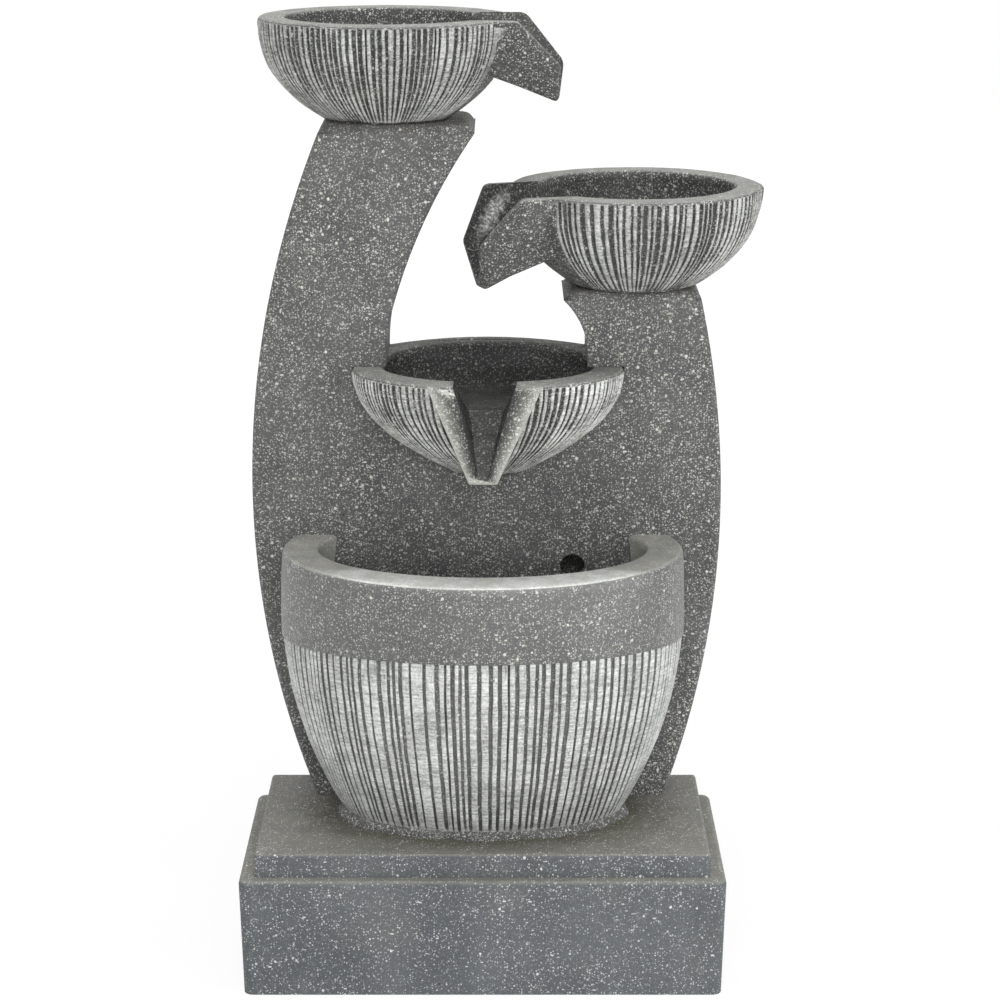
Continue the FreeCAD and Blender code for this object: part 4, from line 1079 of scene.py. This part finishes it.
@dataclass(frozen=True)
class Spout:
    """The sizes of a pouring spout: drops from the rim, ways out from it and halves of its width.

    The root holds its half width, its lower half width and its drop, and the tip its half width, its drop
    and how far it is set back. The end and the mouth hold a half width and a drop.
    """

    turn: float
    length: float
    root: Colour
    end: Pair
    tip: Colour
    mouth: Pair
    channel_end: float
    floor: float
    level: float
    soft: float = 4.0
    inset: float = 24.0
    mouth_inset: float = 42.0
    mouth_low: float = 14.0
    run_low: float = 4.0

    @staticmethod
    def sections(top: Array, foot: Array, half: Array, low: Array, high: Array,
                 deep: Array) -> Sections:
        """Lay out four-cornered sections from the ways out, half widths and rises of their tops and feet."""
        corners = ([top, foot, foot, top], [-half, -low, low, half], [high, deep, deep, high])
        return tuple(np.stack(row, axis=1) for row in corners)

    def body(self, reach: float) -> Sections:
        """Lay out the full spout: level for a run beyond the rim, then narrowing straight down to the tip.

        Args:
            reach: How far the rim lies from the bowl's axis.

        Returns:
            Way out, side and rise of the corners of each section.
        """
        root_half, low_half, root_drop = self.root
        end_half, end_drop = self.end
        tip_half, tip_drop, tip_back = self.tip
        ways = np.concatenate([[-self.inset], np.linspace(self.level, self.length, 4)])
        share = np.clip((ways - self.level) / (self.length - self.level), 0.0, 1.0)
        run = (ways + self.inset) / (self.length + self.inset)
        below_rim = 0.15
        deep = -root_drop - (tip_drop - root_drop) * run
        return self.sections(
            reach + ways, reach + (ways - tip_back * share), root_half + (end_half - root_half) * share,
            low_half + (tip_half - low_half) * run, -below_rim - end_drop * share, deep)

    def channel(self, reach: float) -> Sections:
        """Lay out the channel that is cut through the wall and the spout, narrowing as it falls to the tip.

        Args:
            reach: How far the rim lies from the bowl's axis.

        Returns:
            Way out, side and rise of the corners of each section.
        """
        above, beyond, past_tip = 2.0, 5.0, 2.0
        mouth_half, mouth_drop = self.mouth
        end_drop, low_drop = self.end[1], self.tip[1] - self.floor
        ways = np.linspace(-self.mouth_inset, self.length + beyond, 22)
        share = (ways + self.mouth_inset) / (self.length + past_tip + self.mouth_inset)
        flare = (self.channel_end - self.run_low) / (low_drop - end_drop)
        top_end = self.channel_end + (end_drop + above) * flare
        return self.sections(
            reach + ways, reach + ways, mouth_half + (top_end - mouth_half) * share,
            self.mouth_low + (self.run_low - self.mouth_low) * share, above + 0.0 * share,
            -mouth_drop - (low_drop - mouth_drop) * share)

    def in_channel(self, out: Array, side: Array, rise: Array) -> Array:
        """Tell which points lie in the channel or on its walls.

        Args:
            out: Way out from the rim.
            side: Way to the side.
            rise: Rise over the rim.

        Returns:
            Whether each point does.
        """
        along, width, height = self.channel(0.0)
        rows = (width[:, 2], width[:, 3], height[:, 1])
        low, half, floor = (np.interp(out, along[:, 0], row) for row in rows)
        wall = low + (half - low) * np.clip((rise - floor) / (height[0, 0] - floor), 0.0, 1.0)
        return (out > -self.mouth_inset) & (np.abs(side) < wall + 0.5) & (rise > floor - 0.6)


@dataclass
class Bowl:
    """A ribbed bowl with a pouring spout that falls away from its rim."""

    name: str
    node: str
    x: float
    y: float
    rim_z: float
    spout: Spout
    ribbing: Ribbing
    seed: int
    size: Pair = (102.0, 102.0)
    foot: Pair = (50.0, 44.0)
    height: float = 82.0
    curve: float = 2.55
    cavity: float = 54.0
    hollow: Pair = (80.0, 80.0)
    hollow_back: float = 0.0
    floor: Pair = (46.0, 46.0)
    edge: float = 3.2
    lip: float = 1.6
    wetness: float = 1.0
    channel_wetness: float = 0.7
    stem: float = 0.0
    back_rise: float = 0.0
    back_power: float = 2.0
    corner: float = 0.0
    spout_grit: float = 0.0
    stone: CastStone = BOWL_STONE
    wall_rows: int = 52
    hollow_rows: int = 21
    waves: Pair = (70.0, 6.0)
    uneven: float = 0.35

    def outer(self, drop: Array, which: int) -> Array:
        """Return the half width (0) or reach (1) at a drop below the rim, narrowing by a power."""
        share = np.clip(drop / self.height, 0.0, 1.0)
        return self.size[which] - (self.size[which] - self.foot[which]) * share ** self.curve

    def inner(self, drop: Array, which: int) -> Array:
        """Return the half width (0) or reach (1) of the hollow at a drop below the rim."""
        share = np.clip(drop / self.cavity, 0.0, 1.0)
        return self.hollow[which] - (self.hollow[which] - self.floor[which]) * share ** self.curve

    def ring(self, angle: Array, drop: Array, half: Array, reach: Array,
             back: float = 0.0) -> Array:
        """Place points on ellipses round the axis. The rim rises at the back and may have a drawn corner.

        Args:
            angle: Angle of each point.
            drop: Drop below the rim.
            half: Half width of the ellipse.
            reach: Its half depth.
            back: How far its middle is set back.

        Returns:
            The points.
        """
        rim_share, corner_angle, corner_spread = 26.0, 358.0, 9.0
        near_rim = np.clip(1.0 - drop / rim_share, 0.0, 1.0)
        sine, cosine = np.sin(angle), np.cos(angle)
        power = 2.0 / (2.0 + (self.back_power - 2.0) * ease(sine, 0.0, 0.5))
        across = np.sign(cosine) * np.abs(cosine) ** power
        deep = np.sign(sine) * np.abs(sine) ** power
        rise = self.back_rise * (1.0 - np.clip(np.abs(across), 0.0, 1.0) ** 2) * (sine > 0.0) * near_rim
        drawn = np.exp(-((np.degrees(angle) - corner_angle) / corner_spread) ** 2)
        wide = half * (1.0 + self.corner * drawn * near_rim / 100.0)
        x, y, z = self.x + wide * across, self.y + back + reach * deep, self.rim_z - drop + rise
        return np.stack([x, y, z], axis=-1)

    def shell(self) -> Item:
        """Sweep the wall's profile round the axis, with grooves in the outside.

        The profile ends on the axis, or comes round to its start through the hole for an inlet's stem.

        Returns:
            The closed solid.
        """
        angles, share, number = self.ribbing.columns(self.size[0], closed=True)
        one = np.ones((1, angles.size))
        climb = 1.0 - np.sin(np.linspace(0.0, np.pi / 2, self.wall_rows))[:, None]
        drop = ((self.height - self.edge) * climb + self.edge) * one
        depth, stray = self.ribbing.cut(share, number, climb * one)
        start = self.lip + 0.8 * np.sin(2.4 * number)
        depth = depth * ease(drop - start, 0.0, 1.8) * ease(self.height - drop, 0.0, 6.0)
        bent = angles + stray * self.ribbing.pitch / self.size[0]
        top, shrink = self.edge * (1.0 - np.sin(QUARTER)) * one, self.edge * (1.0 - np.cos(QUARTER)) * one
        fall = np.sin(np.linspace(0.0, np.pi / 2, self.hollow_rows + 1))[1:, None] * one
        low = self.edge + (self.cavity - self.edge) * fall
        shares = np.array([[0.66], [0.33], [self.stem / self.floor[0]]]) * one
        bed = self.cavity + 0.8 * (1.0 - shares)
        under = self.ring(angles * one, self.height * one, self.stem * one, self.stem * one)
        points = np.concatenate([
            under,
            self.ring(bent, drop, self.outer(drop, 0) - depth, self.outer(drop, 1) - depth),
            self.ring(angles * one, top, self.size[0] - shrink, self.size[1] - shrink),
            self.ring(angles * one, shrink, self.hollow[0] + top, self.hollow[1] + top, self.hollow_back),
            self.ring(angles * one, low, self.inner(low, 0), self.inner(low, 1), self.hollow_back),
            self.ring(angles * one, bed, self.floor[0] * shares, self.floor[1] * shares, self.hollow_back),
        ] + [under] * (self.stem > 0.0))
        middle = np.array([self.x, self.y, self.rim_z - 0.4 * self.height])
        rough = roughen(points, middle, wander(points, self.seed, *self.waves), self.uneven)
        return bare_object(self.name, solid_mesh(self.name, rough, closed=True))

    def reach(self) -> float:
        """Return how far the rim lies from the axis where the spout leaves it."""
        turn = math.radians(self.spout.turn)
        return 1.0 / math.hypot(math.sin(turn) / self.size[0], math.cos(turn) / self.size[1])

    def skin(self, name: str, laid: Sections, soft: float) -> Item:
        """Skin a closed solid over sections and round its edges.

        Args:
            name: The object's name.
            laid: Way out from the axis, side and rise of each section's corners.
            soft: Width of the rounded edges.

        Returns:
            The solid.
        """
        out, side, rise = laid
        turn = math.radians(self.spout.turn)
        x = self.x + math.sin(turn) * out + math.cos(turn) * side
        y = self.y - math.cos(turn) * out + math.sin(turn) * side
        item = bare_object(name, solid_mesh(name, np.stack([x, y, self.rim_z + rise], axis=-1), closed=True))
        soften(item, soft)
        return item

    def build(self) -> None:
        """Join the spout to the bowl, cut the channel through both, mark the surfaces and dress them."""
        item = self.shell()
        channel_soft, reach = 1.5, self.reach()
        carve(item, self.skin(self.name + "_spout", self.spout.body(reach), self.spout.soft), Carve.JOIN)
        carve(item, self.skin(self.name + "_channel", self.spout.channel(reach), channel_soft), Carve.CUT)
        self.paint(item.data)
        hand_over(item, self.stone, 46.0, "cast_bowl", ROOT, self.node)

    def paint(self, mesh: Mesh) -> None:
        """Mark rib tops, painted shade in the grooves, and the wet hollow and channel with their painted
        shade, by how deep a point lies under the smooth outside.

        Args:
            mesh: The bowl's mesh.
        """
        x, y, z = mesh_points(mesh)
        x, y, drop = x - self.x, y - self.y, self.rim_z - z
        half, reach = self.outer(drop, 0), self.outer(drop, 1)
        depth = inside_by(x, y, half, reach)
        turn = np.degrees(np.arctan2(y / reach, x / half)) % 360.0
        ribbed = (depth < 6.0) & (depth > -1.1) & (drop > self.lip) & (drop < self.height - 2.0)
        ribbed &= (turn > self.ribbing.start - 2.0) & (turn < self.ribbing.end + 2.0)
        back = y - self.hollow_back
        power = np.where(back > 0.0, self.back_power, 2.0)
        sideways = np.abs(x) / self.inner(drop, 0)
        inner = (sideways ** power + np.abs(back / self.inner(drop, 1)) ** power) ** (1.0 / power)
        rise = self.back_rise * (1.0 - np.clip(sideways, 0.0, 1.0) ** 2) * (back > 0.0)
        hollow = (inner < 1.06) & (drop + rise > 4.0) & (drop < self.cavity + 6.0)
        way = math.radians(self.spout.turn)
        out = math.sin(way) * x - math.cos(way) * y - self.reach()
        side = math.cos(way) * x + math.sin(way) * y
        channel = self.spout.in_channel(out, side, -drop)
        # The back rim's top is marked too: wet stone, and painted shade.
        brim = 0.55 * self.wetness * ((back > 0.0) & (sideways < 1.0) & (drop < 4.0) & (self.back_rise > 0.0))
        mark(mesh, raised=np.where(ribbed, np.clip(0.85 - depth / 1.2, 0.0, 1.0), 0.0),
             # Painted shade in the grooves.
             groove=np.where(ribbed, ease(depth, 0.5, 1.5), 0.0),
             # Wet hollow and channel: wet stone and painted shade.
             wet=np.where(channel, self.channel_wetness, np.where(hollow, self.wetness, brim)),
             grit=np.where((depth < -1.2) & ~channel, self.spout_grit, 0.0))


# Mortar

LOOP_POINTS = 240
MORTAR_SHARP = 60.0


@dataclass
class Bead:
    """The rough bead of mortar round the basin's foot."""

    half: float = 114.0
    reach: float = 60.0
    width: float = 9.0
    height: float = 8.5
    inset: float = 2.0
    seed: int = 31
    waves: Pair = (60.0, 6.0)
    lumps: float = 0.32

    def build(self) -> None:
        """Carry a lumpy quarter-round along the foot's ellipse, from the column round to it again."""
        angles = np.linspace(0.0, np.pi, LOOP_POINTS)
        turn = np.linspace(0.0, np.pi / 2, 9)[:, None]
        flat = np.stack([self.half * np.cos(angles), self.reach * np.sin(angles)], axis=-1)
        out = self.width * np.cos(turn) ** 1.2 * (1.0 + self.lumps * wander(flat, self.seed, *self.waves))
        z = FRONT.foot_z + self.height * np.sin(turn) ** 0.9 + 0.0 * angles
        out = np.concatenate([out, [out[-1] - self.inset, out[-1] - self.inset], out[:1]])
        z = np.concatenate([z, z[-1:], z[:1], z[:1]])
        points = round_front(angles + 0.0 * z, z, self.half + out, self.reach + out)
        item = bare_object("mortar_bead", solid_mesh("bead", points, closed=False))
        hand_over(item, MORTAR, MORTAR_SHARP, "bedding", ROOT, "basin_bead")


@dataclass
class Collar:
    """A bed of mortar between an arm and its bowl: a slab with a lumpy edge."""

    name: str
    node: str
    low: Pair
    high: Pair
    foot_z: float
    seed: int
    height: float = 7.0
    stem: Colour = (0.0, 0.0, 0.0)
    power: float = 9.0
    spread: float = 0.9
    lumps: float = 1.3
    waves: Pair = (40.0, 4.0)

    def build(self) -> None:
        """Stack uneven loops, each a square with round corners whose edge wanders in and out.

        The loops close on the middle, or come round to their start through the hole for an inlet's stem.
        """
        angle = np.linspace(0.0, 2.0 * np.pi, LOOP_POINTS, endpoint=False)
        cosine, sine = np.cos(angle), np.sin(angle)
        half = (np.array(self.high) - np.array(self.low)) / 2.0
        middle = (np.array(self.high) + np.array(self.low)) / 2.0
        square = np.abs(cosine / half[0]) ** self.power + np.abs(sine / half[1]) ** self.power
        square = square ** (-1.0 / self.power)
        share = np.array([0.0, 0.0, 0.15, 0.35, 0.6, 0.8, 0.93, 1.0, 1.0])[:, None]
        inset = np.array([0.0, 0.0, 0.3, 1.0, 2.2, 3.8, 5.6, 7.5, 0.0])[:, None]
        level = self.height * share + 0.0 * angle
        around = np.stack([square * cosine + 0.0 * share, square * sine + 0.0 * share, level], axis=-1)
        lumps = self.lumps * wander(around, self.seed, *self.waves)
        radius = square + self.spread - inset - np.abs(lumps) * share
        x, y = middle[0] + radius * cosine, middle[1] + radius * sine
        points = np.stack([x, y, self.foot_z + level], axis=-1)
        hole = np.array(self.stem[:2]) + self.stem[2] * np.stack([cosine, sine], axis=-1)
        points[[0, -1], :, :2] = hole if self.stem[2] > 0.0 else middle
        points = np.concatenate([points] + [points[:1]] * (self.stem[2] > 0.0))
        item = bare_object(self.name, solid_mesh(self.name, points, closed=True))
        hand_over(item, MORTAR, MORTAR_SHARP, "bedding", ROOT, self.node)


# Solids that keep their shape

KEPT_FINISHES: dict[str, Finish] = {
    "plinth": PLINTH_STONE, "column_front_shell": COLUMN_STONE, "column_back_cover": COLUMN_STONE,
    "base_plate": BOARD, "access_door": DOOR_PLASTIC,
    "door_gasket": BLACK_RUBBER, "cable_grommet": BLACK_RUBBER, "hose_grommet": BLACK_RUBBER,
    "inlet_gasket": BLACK_RUBBER, "pump_feet": BLACK_RUBBER, "pump_cable_gland": BLACK_RUBBER,
    "wall_plug": BLACK_RUBBER, "delivery_hose": MILKY_TUBE, "back_cover_screws": ZINC,
    "inlet_nipple": FITTING_PLASTIC, "inlet_nut": FITTING_PLASTIC, "pump_impeller": FITTING_PLASTIC,
    "pump_flow_dial": FITTING_PLASTIC, "pump_motor_housing": PUMP_PLASTIC, "pump_volute": PUMP_PLASTIC,
    "pump_outlet_barb": PUMP_PLASTIC, "pump_intake_cover": PUMP_PLASTIC, "pump_front_bush": CERAMIC,
    "pump_rear_bush": CERAMIC, "pump_shaft": CERAMIC, "pump_magnet": FERRITE, "pump_sponge": FOAM,
}


def dress_kept_solids() -> None:
    """Give each solid that is shown as it is its own finish."""
    for node, finish in KEPT_FINISHES.items():
        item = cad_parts[node]
        for slot in item.material_slots:
            slot.link = "OBJECT"
            slot.material = finish.material()
        LOG.info("%s: %s", node, finish.name)


# Studio


@dataclass(frozen=True)
class Lamp:
    """A soft square lamp that points at the fountain: its place and side in metres and its power in watts."""

    name: str
    place: Colour
    side: float
    power: float

    def hang(self, aim: Colour) -> None:
        """Hang the lamp.

        Args:
            aim: What it points at.
        """
        data = bpy.data.lights.new(self.name, "AREA")
        data.shape = "SQUARE"
        data.size = self.side
        data.energy = self.power
        item = bpy.data.objects.new(self.name, data)
        item.location = self.place
        item.rotation_euler = (Vector(aim) - Vector(self.place)).to_track_quat("-Z", "Y").to_euler()
        bpy.context.scene.collection.objects.link(item)


LAMPS = (
    Lamp("key", (2.0, -1.2, 0.5), 1.2, 24.0),
    Lamp("fill", (-2.0, -1.2, 1.0), 1.2, 8.0),
    Lamp("front", (0.1, -2.6, 1.3), 1.2, 31.0),
    Lamp("top", (0.1, -0.2, 2.3), 1.4, 24.0),
)


@dataclass
class Studio:
    """Soft lamps, a white sweep and a camera at the photograph's angle."""

    lens: float = 97.2
    sensor: float = 36.0
    sight: float = 50.0
    eye: Colour = (0.0143, -2.1481, 0.973)
    pitch: float = 15.0
    aim: Colour = (0.0, 0.0, 0.4)
    room_light: float = 0.36
    floor_half: float = 6.0
    floor_z: float = -0.0004
    floor_grey: Colour = (0.8, 0.8, 0.8)
    floor_roughness: float = 0.9
    floor_glow: float = 1.05
    shadow_reach: Pair = (0.45, 1.1)
    shadow_glow: float = 0.86

    def camera(self) -> None:
        """Stand the camera in front of the fountain, looking down on it."""
        data = bpy.data.cameras.new("camera")
        data.lens = self.lens
        data.sensor_width = self.sensor
        data.clip_end = self.sight
        item = bpy.data.objects.new("camera", data)
        item.location = self.eye
        item.rotation_euler = (math.radians(90.0 - self.pitch), 0.0, 0.0)
        bpy.context.scene.collection.objects.link(item)
        bpy.context.scene.camera = item

    def floor(self) -> None:
        """Lay a pale floor that looks white but still takes the fountain's shadow."""
        mesh = bpy.data.meshes.new("floor")
        ends = ((-1, -1), (1, -1), (1, 1), (-1, 1))
        corners = [(self.floor_half * x, self.floor_half * y, self.floor_z) for x, y in ends]
        mesh.from_pydata(corners, [], [(0, 1, 2, 3)])
        material, tree, shader = fresh_material("white floor")
        tree.put(shader.inputs["Base Color"], self.floor_grey)
        shader.inputs["Roughness"].default_value = self.floor_roughness
        glow = tree.use("Emission", {"Strength": self.floor_glow})[0]
        distance = tree.use("VectorMath", {0: tree.position()}, operation="LENGTH")["Value"]
        whiter = tree.span(distance, *self.shadow_reach, self.shadow_glow, 1.0)
        shown = tree.times(self.seen_directly(tree), whiter)
        mixed = tree.use("MixShader", {0: shown, 1: shader.outputs[0], 2: glow})[0]
        tree.put(material.node_tree.nodes["Material Output"].inputs["Surface"], mixed)
        mesh.materials.append(material)
        bare_object("floor", mesh)

    @staticmethod
    def seen_directly(tree: Tree) -> Socket:
        """Tell rays that show the room from rays that light it.

        Args:
            tree: The tree that takes the nodes.

        Returns:
            1 for rays from the camera, mirrors and glass, and 0 for light.
        """
        rays = tree.use("LightPath", {})
        total = tree.plus(rays["Is Camera Ray"], rays["Is Glossy Ray"])
        return tree.plus(total, rays["Is Transmission Ray"], clamp=True)

    def world(self) -> None:
        """Fill the room with even light, and show it as white."""
        world = bpy.data.worlds.new("room")
        bpy.context.scene.world = world
        world.use_nodes = True
        tree = Tree(world.node_tree)
        back = world.node_tree.nodes["Background"]
        back.inputs["Color"].default_value = (1.0, 1.0, 1.0, 1.0)
        tree.put(back.inputs["Strength"], tree.span(self.seen_directly(tree), 0.0, 1.0, self.room_light, 1.0))

    def build(self) -> None:
        """Set up the camera, lamps, floor and room."""
        bpy.context.scene.view_settings.view_transform = "Standard"
        self.camera()
        for lamp in LAMPS:
            lamp.hang(self.aim)
        self.floor()
        self.world()


# The fountain

STEM = 8.5
TOP_BOWL = Bowl(
    "top_ribbed_bowl", "top_bowl", -78.0, 46.0, 788.0,
    Spout(turn=85.0, length=41.0, root=(46.0, 30.0, 42.0), end=(23.0, 37.0), tip=(8.0, 68.0, 3.0),
          mouth=(40.0, 45.0), channel_end=18.0, floor=7.0, level=8.0),
    Ribbing(176.0, 331.0, pitch=5.3, depth=1.9, seed=21, groove_share=0.56, fullest=0.74, crown=0.2),
    seed=41, stem=STEM, wetness=0.2)
RIGHT_BOWL = Bowl(
    "right_ribbed_bowl", "right_bowl", 125.0, 46.0, 652.0,
    Spout(turn=-70.0, length=41.0, root=(50.0, 30.0, 51.0), end=(23.0, 41.5), tip=(10.0, 79.0, 8.0),
          mouth=(46.0, 48.0), channel_end=18.0, floor=7.0, level=13.0),
    Ribbing(230.0, 366.0, pitch=5.9, depth=2.0, seed=22, groove_share=0.54, fullest=0.72, crown=0.2),
    seed=42, corner=2.4, wetness=0.62, channel_wetness=0.92, stone=RIGHT_STONE)
MIDDLE_BOWL = Bowl(
    "middle_ribbed_bowl", "middle_bowl", 4.5, 10.0, 507.0,
    Spout(turn=-2.0, length=25.0, root=(46.0, 23.0, 55.0), end=(13.5, 66.0), tip=(11.0, 72.5, 0.0),
          mouth=(26.0, 27.5), channel_end=4.9, floor=3.5, level=-4.0, soft=0.8),
    Ribbing(181.0, 359.0, pitch=6.0, depth=2.0, seed=23, groove_share=0.54, fullest=0.72, crown=0.2),
    seed=43, size=(111.0, 78.6), foot=(26.0, 20.0), height=87.0, curve=2.2, cavity=28.0, hollow=(86.0, 61.6),
    hollow_back=8.0, floor=(64.0, 45.0), back_rise=7.5, back_power=4.0, spout_grit=1.0, channel_wetness=0.95,
    stone=MIDDLE_STONE)
TOP_COLLAR = Collar("top_mortar_bed", "top_bowl_collar", (-130.0, -4.6), (-7.0, 98.0), 699.0, 51,
                    stem=(-78.0, 46.0, STEM))
RIGHT_COLLAR = Collar("right_mortar_bed", "right_bowl_collar", (67.0, 7.3), (177.0, 98.0), 563.0, 52)


def main() -> None:
    """Set up the studio, build the fountain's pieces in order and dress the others."""
    logging.basicConfig(level=logging.INFO, format="%(message)s")
    Studio().build()
    for piece in (Basin(), TOP_BOWL, RIGHT_BOWL, MIDDLE_BOWL, Bead(), TOP_COLLAR, RIGHT_COLLAR):
        piece.build()
    dress_kept_solids()


if __name__ == "__main__":
    main()
